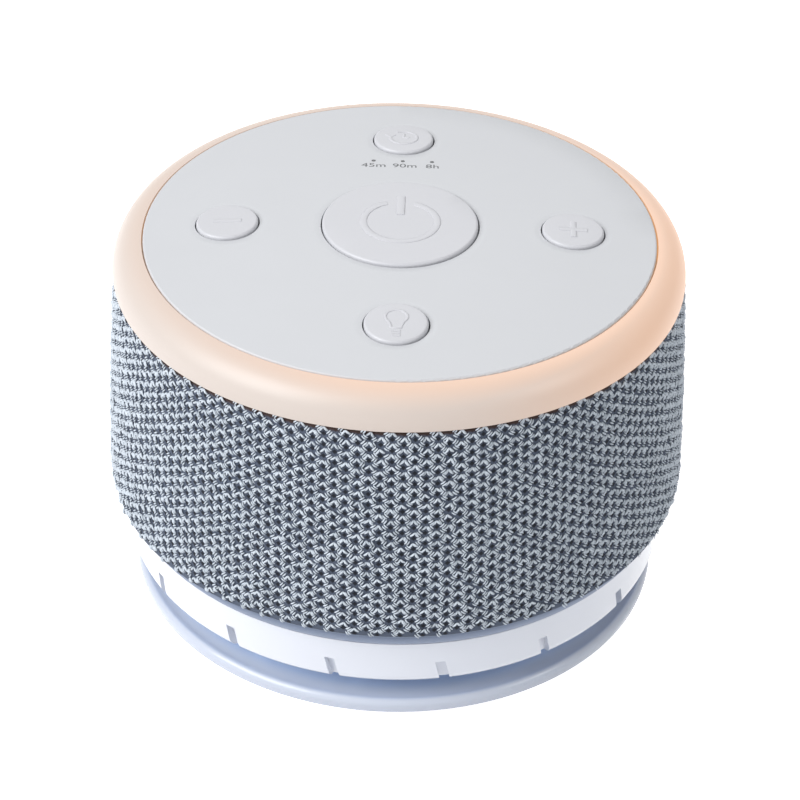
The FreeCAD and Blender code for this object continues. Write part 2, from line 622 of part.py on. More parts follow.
def make_lower_housing():
    """Port ring, deck, lip under the fabric, screw bosses and sound ports."""
    ridge = f"({LIP_TOP} - lip_ridge)"
    step = f"({LIP_RADIUS} - lip_step)"
    body = round_piece("lower_housing", [
        (CASE_BORE, NECK_TOP),
        (PORT_RING, NECK_TOP),
        (PORT_RING, DECK_LOW),
        (LIP_FOOT, DECK_LOW),
        (step, ridge, part_way(LIP_FOOT, step, "lip_out"), part_way(DECK_LOW, ridge, 0.5)),
        (LIP_RADIUS, ridge),
        (LIP_RADIUS, LIP_TOP),
        (SPIGOT_OUTSIDE, LIP_TOP),
        (SPIGOT_OUTSIDE, f"{LIP_TOP} + spigot_height"),
        (f"{SPIGOT_OUTSIDE} - spigot_wall", f"{LIP_TOP} + spigot_height"),
        (f"{SPIGOT_OUTSIDE} - spigot_wall", DECK_TOP),
        ("deck_hole", DECK_TOP),
        ("deck_hole", DECK_LOW),
        (CASE_BORE, DECK_LOW),
    ])
    bosses = plan(body, "bosses", NECK_TOP)
    circle(bosses, "case_boss", *diagonal(SCREW_CIRCLE))
    repeat(body, [pad(body, "boss", bosses, f"{DECK_LOW} - {NECK_TOP}")], "screw_count")
    holes = plan(body, "holes", DECK_TOP)
    circle(holes, "screw_radius + hole_play", *diagonal(SCREW_CIRCLE))
    repeat(body, [pocket(body, "hole", holes, f"{DECK_TOP} - {NECK_TOP}")], "screw_count")
    ports = plan(body, "ports", PORT_TOP)
    rectangle(ports, f"{CASE_BORE} - overcut", f"{PORT_RING} + overcut", "(-port_width / 2)",
              "(port_width / 2)")
    repeat(body, [pocket(body, "port", ports, "port_height")], "port_count")
    pilots = plan(body, "pilots", DECK_TOP)
    circle(pilots, "small_screw + fit_gap", "isolator_circle")
    repeat(body, [pocket(body, "pilot", pilots, "isolator_bite + pilot_room")], "isolator_count")
    lead = plan(body, "lead", DECK_TOP)
    circle(lead, "lead_hole", "0", LEAD_LINE)
    pocket(body, "lead_way", lead, "deck_thick")


def make_collar():
    """Tone collar: skirt with grip notches, web, and an inner tube with matching ports."""
    web_low = f"({COLLAR_TOP} - collar_web)"
    body = round_piece("tone_collar", [
        (TUBE_BORE, TUBE_FOOT),
        (TUBE_OUTSIDE, TUBE_FOOT),
        (TUBE_OUTSIDE, web_low),
        (COLLAR_INSIDE, web_low),
        (COLLAR_INSIDE, COLLAR_LOW),
        (f"{COLLAR_RADIUS} - collar_round", COLLAR_LOW),
        (COLLAR_RADIUS, f"{COLLAR_LOW} + collar_round",
         f"{COLLAR_RADIUS} - collar_round * (1 - {DIAGONAL})",
         f"{COLLAR_LOW} + collar_round * (1 - {DIAGONAL})"),
        (COLLAR_RADIUS, COLLAR_TOP),
        (TUBE_BORE, COLLAR_TOP),
    ])
    ports = plan(body, "ports", PORT_TOP)
    rectangle(ports, f"{TUBE_BORE} - overcut", f"{TUBE_OUTSIDE} + overcut", "(-port_width / 2)",
              "(port_width / 2)")
    repeat(body, [pocket(body, "port", ports, "port_height")], "port_count")
    turn = "(180 / grip_count)"
    foot = plan(body, "grip_foot", f"{COLLAR_LOW} - overcut", turn)
    head = plan(body, "grip_head", f"{COLLAR_LOW} + grip_height", turn)
    for sketch, side, inset in ((foot, "grip_lean / 2", "collar_round * 0.6"),
                                (head, "(-grip_lean / 2)", "0")):
        rectangle(sketch, f"{COLLAR_RADIUS} - grip_depth - {inset}", f"{COLLAR_RADIUS} + overcut",
                  f"{side} - grip_width / 2", f"{side} + grip_width / 2")
    grip = body.newObject("PartDesign::SubtractiveLoft", "tone_collar_grip")
    grip.Profile = foot
    grip.Sections = [head]
    grip.Ruled = True
    repeat(body, [grip], "grip_count")


# Shell, fabric and light ring

def side_arcs(inset, rising):
    """The bowed side of the drum at an inset from the fabric's outside, up or down."""
    low = (f"({FABRIC_FOOT} - {inset})", FABRIC_LOW)
    wide = (f"(sleeve_max_radius - {inset})", FABRIC_WIDE)
    top = (f"({FABRIC_EDGE} - {inset})", FABRIC_TOP)
    turn = (part_way(low[0], wide[0], "turn_out"), part_way(low[1], wide[1], "turn_up"))
    bow = (f"({part_way(wide[0], top[0], 0.5)} + sleeve_bulge)", part_way(wide[1], top[1], 0.5))
    if rising:
        return [low, wide + turn, top + bow]
    return [top, wide + bow, low + turn]


def make_shell():
    """Housing shell: vented side, upper deck, well for the control board, posts and bosses."""
    body = round_piece("housing_shell", [
        (SHELL_FOOT_BORE, LIP_TOP),
        (f"({FABRIC_FOOT} - {SHELL_INSET})", LIP_TOP),
        *side_arcs(SHELL_INSET, True),
        (SHELL_TOP_BORE, FABRIC_TOP),
        (SHELL_TOP_BORE, SHELF_TOP),
        (WELL_OUTSIDE, SHELF_TOP),
        (WELL_OUTSIDE, PANEL_LOW),
        (WELL_INSIDE, PANEL_LOW),
        (WELL_INSIDE, SHELF_TOP),
        ("0", SHELF_TOP),
        ("0", SHELF_LOW),
        (SHELL_TOP_BORE, SHELF_LOW),
        *side_arcs(SHELL_INNER, False)[1:],
    ])
    posts = plan(body, "posts", DECK_TOP)
    circle(posts, "case_boss", *diagonal(SCREW_CIRCLE))
    repeat(body, [pad(body, "post", posts, f"{SHELF_LOW} - {DECK_TOP}")], "screw_count")
    pilots = plan(body, "pilots", f"{DECK_TOP} + screw_bite + pilot_room")
    circle(pilots, "screw_radius + fit_gap", *diagonal(SCREW_CIRCLE))
    repeat(body, [pocket(body, "pilot", pilots, "screw_bite + pilot_room")], "screw_count")
    bosses = plan(body, "bosses", SHELF_TOP)
    circle(bosses, "small_boss", *diagonal(BOARD_SCREW_CIRCLE))
    repeat(body, [pad(body, "boss", bosses, "board_standoff")], "board_screw_count")
    small_pilots = plan(body, "small_pilots", BOARD_LOW)
    circle(small_pilots, "small_screw + fit_gap", *diagonal(BOARD_SCREW_CIRCLE))
    repeat(body, [pocket(body, "small_pilot", small_pilots, "board_screw_bite + pilot_room")],
           "board_screw_count")
    vents = facing(body, "vents", "sleeve_max_radius + overcut", "(180 / vent_count)")
    first = f"({LIP_TOP} + vent_low)"
    second = f"({first} + vent_height + vent_gap)"
    for low in (first, second):
        rectangle(vents, "(-vent_width / 2)", "(vent_width / 2)", low, f"{low} + vent_height")
    depth = f"overcut + {SHELL_INNER} + sleeve_top_inset"
    repeat(body, [pocket(body, "vent", vents, depth)], "vent_count")
    leads = plan(body, "leads", SHELF_TOP)
    circle(leads, "lead_hole", "0", LEAD_LINE)
    circle(leads, "lead_hole", "motor_lead_x", "motor_lead_y")
    pocket(body, "lead_ways", leads, "shelf_thick")


def make_fabric():
    """Knit sleeve stretched over the shell, turned in at the bottom."""
    round_piece("fabric_sleeve", [
        *side_arcs("0", True),
        *side_arcs("fabric_thick", False),
    ])


def make_light_ring():
    """Translucent ring: a convex outside, an even wall and a skirt on the LED board."""
    inner_low, outer_high = f"({RING_LOW} + ring_wall)", f"({RING_TOP} - ring_wall)"
    inner_edge = f"({FABRIC_EDGE} - ring_wall)"
    round_piece("light_ring", [
        (SKIRT_INSIDE, LED_BOARD_TOP),
        (SKIRT_OUTSIDE, LED_BOARD_TOP),
        (SKIRT_OUTSIDE, RING_LOW),
        (FABRIC_EDGE, RING_LOW),
        (RING_INNER, RING_TOP, part_way(RING_INNER, FABRIC_EDGE, "ring_out"),
         part_way(RING_LOW, RING_TOP, "ring_up")),
        (RING_INNER, outer_high),
        (inner_edge, inner_low, part_way(RING_INNER, inner_edge, "ring_out"),
         part_way(inner_low, outer_high, "ring_out")),
        (SKIRT_INSIDE, f"{RING_LOW} + ring_wall / 2"),
    ])


def make_night_light():
    """Ring-shaped LED board on the shell's shelf and the LEDs on it."""
    board = new_body("led_board")
    sketch = plan(board, "outline", SHELF_TOP)
    circle(sketch, SKIRT_OUTSIDE)
    circle(sketch, f"{WELL_OUTSIDE} + seam_gap")
    pad(board, "board", sketch, "led_board_thick")
    leds = new_body("night_light_leds")
    sketch = plan(leds, "outline", LED_BOARD_TOP)
    rectangle(sketch, f"{LED_CIRCLE} - led_size / 2", f"{LED_CIRCLE} + led_size / 2",
              "(-led_size / 2)", "(led_size / 2)")
    repeat(leds, [pad(leds, "led", sketch, "led_height")], "led_count")


# Top panel and controls

def make_panel():
    """Domed top panel: rounded edge, locating ring, holes for buttons and light pipes."""
    skirt_bore = f"({PANEL_SKIRT} - panel_skirt)"
    skirt_foot = f"({PANEL_LOW} - panel_skirt_depth)"
    half_bore, half_edge = f"({skirt_bore} / 2)", f"({DOME_EDGE} / 2)"
    body = round_piece("top_panel", [
        ("0", f"({PANEL_LOW} + panel_dome)"),
        (skirt_bore, f"({PANEL_LOW} + {dome(skirt_bore)})",
         half_bore, f"({PANEL_LOW} + {dome(half_bore)})"),
        (skirt_bore, skirt_foot),
        (PANEL_SKIRT, skirt_foot),
        (PANEL_SKIRT, PANEL_LOW),
        (PANEL_RADIUS, PANEL_LOW),
        (PANEL_RADIUS, f"{PANEL_TOP} - panel_round"),
        (DOME_EDGE, PANEL_TOP,
         f"{PANEL_RADIUS} - panel_round * (1 - {DIAGONAL})",
         f"{PANEL_TOP} - panel_round * (1 - {DIAGONAL})"),
        ("0", PANEL_CREST, half_edge, f"({PANEL_TOP} + {dome(half_edge)})"),
    ])
    holes = plan(body, "holes", PANEL_CREST)
    for across, backward, cap in BUTTONS.values():
        circle(holes, f"{cap} + button_gap", across, backward)
    for across in ("(-pipe_spacing)", "0", "pipe_spacing"):
        circle(holes, "pipe_radius + fit_gap", across, PIPE_LINE)
    pocket(body, "hole", holes, "panel_thick + panel_dome")


def cap_height(reach):
    """The height of a button's top at a distance from the panel's middle."""
    return f"({PANEL_TOP} + {dome(reach)} + button_proud)"


def trim_to_dome(body, across, backward, cap):
    """Cuts a button's top along the panel's dome and rounds its rim."""
    sketch = sketch_on(body, "crown", "XZ_Plane", backward)
    sketch.AttachmentOffset = FreeCAD.Placement(
        Vector(-number(across), 0, number(backward)), FreeCAD.Rotation(Vector(0, 1, 0), 45))
    tie(sketch, "AttachmentOffset.Base.x", f"(-{across})")
    tie(sketch, "AttachmentOffset.Rotation.Angle", "45")
    edge = f"({BUTTON_CIRCLE} + {cap} + overcut)"
    outline(sketch, [
        ("0", CAP_CREST),
        (edge, cap_height(edge), f"({edge} / 2)", cap_height(f"({edge} / 2)")),
        (edge, f"({CAP_CREST} + overcut)"),
        ("0", f"({CAP_CREST} + overcut)"),
    ])
    crown = body.newObject("PartDesign::Groove", f"{body.Name}_crown")
    crown.Profile = sketch
    crown.ReferenceAxis = (sketch, ["V_Axis"])
    crown.Angle = 360
    doc.recompute()
    rim = [f"Edge{index}" for index, side in enumerate(crown.Shape.Edges, start=1)
           if side.BoundBox.ZMin > number(PANEL_TOP)
           and all(abs(math.hypot(point.x, point.y) - number(cap)) < 0.001
                   for point in side.discretize(5))]
    if not rim:
        raise RuntimeError(f"{body.Label}: no rim to round")
    rounding = body.newObject("PartDesign::Fillet", f"{body.Name}_rounding")
    rounding.Base = (crown, rim)
    tie(rounding, "Radius", "button_edge")


def make_button(name, across, backward, cap):
    """A hollow button with a flange under the panel and a boss on its switch's plunger."""
    central = name == "power"
    circle_radius = "0" if central else BUTTON_CIRCLE
    flange_top = f"({PANEL_LOW} + {dome(f'({circle_radius} + {cap} + button_flange)')} - fit_gap)"
    flange_low = f"({flange_top} - flange_thick)"
    inside = f"({cap_height(f'({circle_radius} + {cap})')} - button_wall)"
    crown = [(cap, CAP_CREST), ("0", CAP_CREST)]
    if central:
        turn = f"({cap} - button_edge)"
        crown = [
            (cap, f"({cap_height(cap)} - button_edge)"),
            (turn, cap_height(turn), f"{cap} - button_edge * (1 - {DIAGONAL})",
             f"{cap_height(turn)} - button_edge * (1 - {DIAGONAL})"),
            ("0", CAP_CREST, f"({turn} / 2)", cap_height(f"({turn} / 2)")),
        ]
    body = round_piece(f"{name}_button", [
        ("0", PLUNGER_TOP),
        ("button_boss", PLUNGER_TOP),
        ("button_boss", inside),
        (f"{cap} - button_wall", inside),
        (f"{cap} - button_wall", flange_low),
        (f"{cap} + button_flange", flange_low),
        (f"{cap} + button_flange", flange_top),
        (cap, flange_top),
        *crown,
    ])
    if not central:
        trim_to_dome(body, across, backward, cap)
    move_to(body, across, backward)
    plunger = doc.addObject("Part::Cylinder", f"{name}_plunger")
    plunger.Label = f"{name}_plunger"
    tie(plunger, "Radius", "plunger_radius")
    tie(plunger, "Height", "plunger_reach + plunger_root")
    move_to(plunger, across, backward, f"{SWITCH_TOP} - plunger_root")
    subparts.append(plunger)


def make_switches():
    """Five push switches with wells for their plungers."""
    body = new_body("push_switches")
    sketch = plan(body, "outline", BOARD_TOP)
    for across, backward, cap in BUTTONS.values():
        rectangle(sketch, f"({across} - switch_size / 2)", f"({across} + switch_size / 2)",
                  f"({backward} - switch_size / 2)", f"({backward} + switch_size / 2)")
    pad(body, "switch", sketch, "switch_height")
    wells = plan(body, "wells", SWITCH_TOP)
    for across, backward, cap in BUTTONS.values():
        circle(wells, "plunger_radius + fit_gap", across, backward)
    pocket(body, "well", wells, "plunger_root + button_travel + plunger_play")


def make_control_board():
    """Round control board with its screws, chip, capacitors, timer LEDs and light pipes."""
    board = new_body("control_board")
    sketch = plan(board, "outline", BOARD_LOW)
    circle(sketch, BOARD_RADIUS)
    pad(board, "board", sketch, "board_thick")
    holes = plan(board, "holes", BOARD_TOP)
    circle(holes, "small_screw + hole_play", *diagonal(BOARD_SCREW_CIRCLE))
    repeat(board, [pocket(board, "hole", holes, "board_thick")], "board_screw_count")

    screws = new_body("board_screws")
    heads = plan(screws, "heads", BOARD_TOP)
    circle(heads, "small_head", *diagonal(BOARD_SCREW_CIRCLE))
    head = pad(screws, "head", heads, "small_head_height")
    shanks = plan(screws, "shanks", f"{BOARD_LOW} - board_screw_bite")
    circle(shanks, "small_screw", *diagonal(BOARD_SCREW_CIRCLE))
    shank = pad(screws, "shank", shanks, "board_thick + board_screw_bite")
    repeat(screws, [head, shank], "board_screw_count")

    chip = doc.addObject("Part::Box", "controller_chip")
    chip.Label = "controller_chip"
    tie(chip, "Length", "chip_size")
    tie(chip, "Width", "chip_size")
    tie(chip, "Height", "chip_height")
    move_to(chip, "chip_place", "(-chip_place - chip_size)", BOARD_TOP)
    subparts.append(chip)

    capacitors = new_body("smoothing_capacitors")
    sketch = plan(capacitors, "outline", BOARD_TOP)
    circle(sketch, "capacitor_radius", "(-capacitor_x)", "capacitor_y")
    circle(sketch, "capacitor_radius", "(-capacitor_x)", "capacitor_y + capacitor_spacing")
    pad(capacitors, "can", sketch, "capacitor_height")

    leds = new_body("timer_leds")
    sketch = plan(leds, "outline", BOARD_TOP)
    pipes = new_body("timer_light_pipes")
    foot_low = f"({BOARD_TOP} + led_height + fit_gap * 2)"
    shoulder = f"({PANEL_LOW} + {dome(f'({PIPE_REACH} + pipe_foot)')})"
    feet = plan(pipes, "feet", foot_low)
    pins = plan(pipes, "pins", shoulder)
    for across in ("(-pipe_spacing)", "0", "pipe_spacing"):
        rectangle(sketch, f"({across} - led_size / 2)", f"({across} + led_size / 2)",
                  f"{PIPE_LINE} - led_size / 2", f"{PIPE_LINE} + led_size / 2")
        circle(feet, "pipe_foot", across, PIPE_LINE)
        circle(pins, "pipe_radius", across, PIPE_LINE)
    pad(leds, "led", sketch, "led_height")
    pad(pipes, "foot", feet, f"{shoulder} - {foot_low}")
    pad(pipes, "pin", pins, f"{PANEL_TOP} + {dome(PIPE_REACH)} - {shoulder}")


# Motor and fan

def make_motor_mount():
    """Motor plate on rubber mounts, with the screws of both."""
    plate = new_body("motor_plate")
    sketch = plan(plate, "outline", PLATE_LOW)
    circle(sketch, "plate_radius")
    circle(sketch, "bush_radius + bush_room")
    pad(plate, "plate", sketch, "plate_thick")
    holes = plan(plate, "holes", PLATE_TOP)
    circle(holes, "small_screw + hole_play", "isolator_circle")
    repeat(plate, [pocket(plate, "hole", holes, "plate_thick")], "isolator_count")
    motor_holes = plan(plate, "motor_holes", PLATE_TOP)
    circle(motor_holes, "small_screw + hole_play", "motor_screw_circle")
    repeat(plate, [pocket(plate, "motor_hole", motor_holes, "plate_thick")], "motor_screw_count")

    isolators = new_body("motor_isolators")
    sketch = plan(isolators, "outline", DECK_TOP)
    circle(sketch, "isolator_radius", "isolator_circle")
    circle(sketch, "small_screw + hole_play", "isolator_circle")
    repeat(isolators, [pad(isolators, "mount", sketch, "isolator_height")], "isolator_count")

    screws = new_body("isolator_screws")
    heads = plan(screws, "heads", PLATE_TOP)
    circle(heads, "small_head", "isolator_circle")
    head = pad(screws, "head", heads, "small_head_height")
    shanks = plan(screws, "shanks", f"{DECK_TOP} - isolator_bite")
    circle(shanks, "small_screw", "isolator_circle")
    shank = pad(screws, "shank", shanks, "isolator_bite + isolator_height + plate_thick")
    repeat(screws, [head, shank], "isolator_count")

    motor_screws = new_body("motor_screws")
    heads = plan(motor_screws, "heads", f"{PLATE_LOW} - small_head_height")
    circle(heads, "small_head", "motor_screw_circle")
    head = pad(motor_screws, "head", heads, "small_head_height")
    shanks = plan(motor_screws, "shanks", PLATE_LOW)
    circle(shanks, "small_screw", "motor_screw_circle")
    shank = pad(motor_screws, "shank", shanks, "plate_thick + can_wall + motor_screw_past")
    repeat(motor_screws, [head, shank], "motor_screw_count")


def make_motor_case():
    """Motor can, end cap, bushes and magnets."""
    bush_hole = "(bush_radius + fit_gap)"
    can_bore = "(can_radius - can_wall)"
    can = round_piece("motor_can", [
        (bush_hole, PLATE_TOP),
        ("can_radius", PLATE_TOP),
        ("can_radius", CAN_TOP),
        (can_bore, CAN_TOP),
        (can_bore, f"{PLATE_TOP} + can_wall"),
        (bush_hole, f"{PLATE_TOP} + can_wall"),
    ])
    holes = plan(can, "holes", f"{PLATE_TOP} + can_wall")
    circle(holes, "small_screw + fit_gap", "motor_screw_circle")
    repeat(can, [pocket(can, "hole", holes, "can_wall")], "motor_screw_count")

    bush_top = f"({CAN_TOP} + bush_height)"
    bore_top = f"({SHAFT_TOP} + shaft_play)"
    crown = f"({bore_top} + end_cap_crown)"
    round_piece("motor_end_cap", [
        (bush_hole, CAN_TOP),
        ("can_radius", CAN_TOP),
        ("can_radius", END_CAP_TOP),
        ("end_cap_boss", END_CAP_TOP),
        ("end_cap_boss", crown),
        ("0", crown),
        ("0", bore_top),
        (f"{SHAFT_BORE} + hole_play", bore_top),
        (f"{SHAFT_BORE} + hole_play", bush_top),
        (bush_hole, bush_top),
    ])

    bushes = new_body("motor_bushes")
    for name, low in (("lower", PLATE_TOP), ("upper", CAN_TOP)):
        sketch = plan(bushes, name, low)
        circle(sketch, "bush_radius")
        circle(sketch, SHAFT_BORE)
        pad(bushes, f"{name}_bush", sketch, "bush_height")

    magnets = new_body("motor_magnets")
    sketch = plan(magnets, "outline", f"{PLATE_TOP} + can_height / 2 - magnet_height / 2")
    side, rise = "cos(magnet_span)", "sin(magnet_span)"
    outline(sketch, [
        (f"{MAGNET_OUTSIDE} * {side}", f"(-{MAGNET_OUTSIDE} * {rise})"),
        (f"{MAGNET_OUTSIDE} * {side}", f"{MAGNET_OUTSIDE} * {rise}", MAGNET_OUTSIDE, "0"),
        (f"{MAGNET_INSIDE} * {side}", f"{MAGNET_INSIDE} * {rise}"),
        (f"{MAGNET_INSIDE} * {side}", f"(-{MAGNET_INSIDE} * {rise})", MAGNET_INSIDE, "0"),
    ])
    repeat(magnets, [pad(magnets, "magnet", sketch, "magnet_height")], "magnet_count")


def make_armature():
    """Shaft, slotted core, windings and commutator, which turn together."""
    shaft = doc.addObject("Part::Cylinder", "motor_shaft")
    shaft.Label = "motor_shaft"
    tie(shaft, "Radius", "shaft_radius")
    tie(shaft, "Height", f"{SHAFT_TOP} - {IMPELLER_LOW}")
    move_to(shaft, lift=IMPELLER_LOW)
    subparts.append(shaft)

    core = new_body("armature_core")
    sketch = plan(core, "outline", CORE_LOW)
    circle(sketch, CORE_RADIUS)
    circle(sketch, SHAFT_BORE)
    pad(core, "core", sketch, "armature_height")
    slots = plan(core, "slots", CORE_TOP)
    rectangle(slots, "slot_floor", f"{CORE_RADIUS} + overcut", "(-slot_width / 2)", "(slot_width / 2)")
    repeat(core, [pocket(core, "slot", slots, "armature_height")], "slot_count")

    windings = new_body("armature_windings")
    lows = (("lower", f"{CORE_LOW} - winding_rise"), ("upper", f"{CORE_TOP} + fit_gap"))
    for name, low in lows:
        sketch = plan(windings, name, low)
        circle(sketch, f"{CORE_RADIUS} - winding_inset")
        circle(sketch, "slot_floor - winding_inset")
        pad(windings, f"{name}_turns", sketch, "winding_rise - fit_gap")
    bars = plan(windings, "bars", f"{CORE_LOW} - winding_rise / 2")
    rectangle(bars, "slot_floor + fit_gap", f"{CORE_RADIUS} - winding_inset - fit_gap * 4",
              "(fit_gap * 2 - slot_width / 2)", "(slot_width / 2 - fit_gap * 2)")
    bar = pad(windings, "bar", bars, "armature_height + winding_rise")
    repeat(windings, [bar], "slot_count")

    commutator = new_body("commutator")
    sketch = plan(commutator, "outline", f"{WINDING_TOP} + fit_gap")
    circle(sketch, "commutator_radius")
    circle(sketch, SHAFT_BORE)
    pad(commutator, "ring", sketch, "commutator_height")


def make_impeller():
    """Backward-curved blades between a plate and a rim ring, on a hub."""
    plate_low = f"({IMPELLER_TOP} - impeller_plate)"
    body = round_piece("impeller", [
        (SHAFT_BORE, IMPELLER_LOW),
        ("hub_radius", IMPELLER_LOW),
        ("hub_radius", plate_low),
        (IMPELLER_RADIUS, plate_low),
        (IMPELLER_RADIUS, IMPELLER_TOP),
        (SHAFT_BORE, IMPELLER_TOP),
    ])
    blades = plan(body, "blades", f"{IMPELLER_LOW} + impeller_plate / 2")
    tip = f"({IMPELLER_RADIUS} - blade_margin)"
    middle = part_way("blade_root", tip, 0.5)
    outline(blades, [
        ("blade_root", "blade_thick"),
        ("blade_root", "0"),
        (tip, "blade_sweep", middle, "blade_sweep * blade_bow"),
        (f"{tip} - blade_slant", "blade_sweep + blade_thick"),
    ])
    blade = pad(body, "blade", blades, "impeller_height - impeller_plate")
    repeat(body, [blade], "blade_count")
    ring = plan(body, "ring", IMPELLER_LOW)
    circle(ring, IMPELLER_RADIUS)
    circle(ring, f"{IMPELLER_RADIUS} - impeller_ring")
    pad(body, "rim_ring", ring, "impeller_plate")


# Inner leads

def soft_path(points):
    """Straight runs joined by tangent arcs, each as large as its two runs allow."""
    edges = []
    last = points[0]
    for before, corner, after in zip(points, points[1:], points[2:]):
        inward, outward = (corner - before), (after - corner)
        turn = inward.getAngle(outward)
        cut = 0.45 * min(inward.Length, outward.Length)
        start = corner - inward.normalize() * cut
        end = corner + outward.normalize() * cut
        radius = cut / math.tan(turn / 2)
        towards = ((start + end) * 0.5 - corner).normalize()
        middle = corner + towards * (radius / math.cos(turn / 2) - radius)
        edges.append(Part.makeLine(last, start))
        edges.append(Part.Arc(start, middle, end).toShape())
        print("lead bend radius", round(radius, 1))
        last = end
    edges.append(Part.makeLine(last, points[-1]))
    return Part.Wire(edges)


def make_lead(label, places):
    """A lead along its route, from expressions in the sheet's sizes."""
    points = [Vector(*(number(text) for text in place)) for place in places]
    route = soft_path(points)
    end = Part.Circle(points[0], points[1] - points[0], number("lead_radius")).toShape()
    lead = doc.addObject("Part::Feature", label)
    lead.Label = label
    lead.Shape = route.makePipeShell([Part.Wire([end])], True, False)
    print(label, "volume to section times length",
          round(lead.Shape.Volume / (math.pi * number("lead_radius") ** 2 * route.Length), 4))
    subparts.append(lead)


def make_leads():
    """Power lead from the inlet, and motor lead from the end cap, both to the control board."""
    rise = f"({SHELF_LOW} - {DECK_TOP})"
    make_lead("power_lead", [
        ("0", LEAD_LINE, f"{FLOOR_TOP} + jack_height"),
        ("0", LEAD_LINE, f"{DECK_TOP} + {rise} * 0.1"),
        ("lead_radius * 4", f"{LEAD_LINE} - lead_radius", f"{DECK_TOP} + {rise} * 0.4"),
        ("(-lead_radius * 3)", f"{LEAD_LINE} - lead_radius", f"{DECK_TOP} + {rise} * 0.68"),
        ("0", LEAD_LINE, f"{SHELF_LOW} - {rise} * 0.06"),
        ("0", LEAD_LINE, BOARD_LOW),
    ])
    make_lead("motor_lead", [
        ("can_radius * 0.65", "0", END_CAP_TOP),
        ("can_radius * 0.65", "0", f"{END_CAP_TOP} + can_height * 0.3"),
        ("motor_lead_x * 0.8", "motor_lead_y * 0.5", f"{END_CAP_TOP} + can_height * 0.6"),
        ("motor_lead_x", "motor_lead_y", f"{SHELF_LOW} - shelf_thick * 2"),
        ("motor_lead_x", "motor_lead_y", BOARD_LOW),
    ])


def make_everything():
    """Builds the sub-parts from the table upwards."""
    make_feet()
    make_base()
    make_case_screws()
    make_jack()
    make_lower_housing()
    make_collar()
    make_shell()
    make_fabric()
    make_light_ring()
    make_night_light()
    make_panel()
    for name, (across, backward, cap) in BUTTONS.items():
        make_button(name, across, backward, cap)
    make_switches()
    make_control_board()
    make_motor_mount()
    make_motor_case()
    make_armature()
    make_impeller()
    make_leads()


def check_everything():
    """Stops on any failed object or bad shape."""
    doc.recompute()
    for item in doc.Objects:
        if "Invalid" in item.State or "Error" in item.State:
            raise RuntimeError(f"{item.Label} failed: {item.State}")
    for piece in subparts:
        if piece.Shape.isNull() or not piece.Shape.isValid() or not piece.Shape.Solids:
            raise RuntimeError(f"{piece.Label} has no sound solid")


make_everything()
check_everything()
os.makedirs("parts", exist_ok=True)
for piece in subparts:
    piece.Shape.exportStep(os.path.join("parts", f"{piece.Label}.step"))
print(len(subparts), "sub-parts")
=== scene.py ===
import json
import logging
import math
from dataclasses import dataclass
from enum import Enum
from typing import Any, Callable, Sequence

import bmesh
import bpy
from mathutils import Matrix, Vector


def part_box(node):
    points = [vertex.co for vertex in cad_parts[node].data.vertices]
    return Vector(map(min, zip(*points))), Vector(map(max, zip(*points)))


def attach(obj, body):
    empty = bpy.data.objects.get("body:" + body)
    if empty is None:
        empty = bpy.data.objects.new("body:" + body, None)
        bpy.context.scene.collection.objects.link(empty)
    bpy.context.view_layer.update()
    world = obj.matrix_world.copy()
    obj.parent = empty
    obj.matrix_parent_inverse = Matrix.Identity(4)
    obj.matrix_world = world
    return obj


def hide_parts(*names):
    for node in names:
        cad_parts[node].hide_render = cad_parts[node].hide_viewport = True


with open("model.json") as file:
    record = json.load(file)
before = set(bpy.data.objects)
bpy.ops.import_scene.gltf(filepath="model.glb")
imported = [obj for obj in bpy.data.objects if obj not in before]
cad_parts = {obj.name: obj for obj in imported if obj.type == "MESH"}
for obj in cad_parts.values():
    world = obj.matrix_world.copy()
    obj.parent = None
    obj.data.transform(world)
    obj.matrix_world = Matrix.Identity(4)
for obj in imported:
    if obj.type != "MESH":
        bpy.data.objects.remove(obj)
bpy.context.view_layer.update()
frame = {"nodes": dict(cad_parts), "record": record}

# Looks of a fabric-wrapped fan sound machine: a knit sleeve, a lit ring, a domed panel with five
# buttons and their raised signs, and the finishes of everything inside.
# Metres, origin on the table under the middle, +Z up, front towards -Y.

MM = 0.001
Colour = tuple[float, float, float]
Point = tuple[float, float]
log = logging.getLogger("sound_machine")


def tint(*parts: int) -> Colour:
    """Turns a colour as a screen shows it into the linear values that shaders use.

    Args:
        *parts: Red, green and blue, from 0 to 255.

    Returns:
        The linear colour.
    """
    return tuple((c / 255 / 12.92) if c <= 10 else ((c / 255 + 0.055) / 1.055) ** 2.4
                 for c in parts)


def maths(operation: str) -> Callable[..., "Wire"]:
    """A method that adds a Math node, with its own wire first, and gives the result."""
    def method(wire: "Wire", *others: Any) -> "Wire":
        """The result of the operation."""
        return wire.math(operation, *others)
    return method


class Wire:
    """A number in a node tree, on which Python's operators add Math nodes."""

    __add__ = __radd__ = maths("ADD")
    __mul__ = __rmul__ = maths("MULTIPLY")
    __sub__ = maths("SUBTRACT")
    __truediv__ = maths("DIVIDE")
    __mod__ = maths("FLOORED_MODULO")
    __pow__ = maths("POWER")
    floor = maths("FLOOR")
    size = maths("ABSOLUTE")

    def __init__(self, tree: "Tree", socket: bpy.types.NodeSocket) -> None:
        """Wraps one output socket of the tree."""
        self.tree = tree
        self.socket = socket

    def __rsub__(self, other: Any) -> "Wire":
        """Other minus this."""
        return self.tree.math("SUBTRACT", other, self)

    def math(self, operation: str, *others: Any) -> "Wire":
        """Adds a Math node with this number first, and gives its result."""
        return self.tree.math(operation, self, *others)

    def ramp(self, low: float, high: float) -> "Wire":
        """0 at low, 1 at high and smooth between them."""
        return self.tree.wire(
            "ShaderNodeMapRange", {"Value": self, "From Min": low, "From Max": high}, "Result",
            interpolation_type="SMOOTHSTEP")


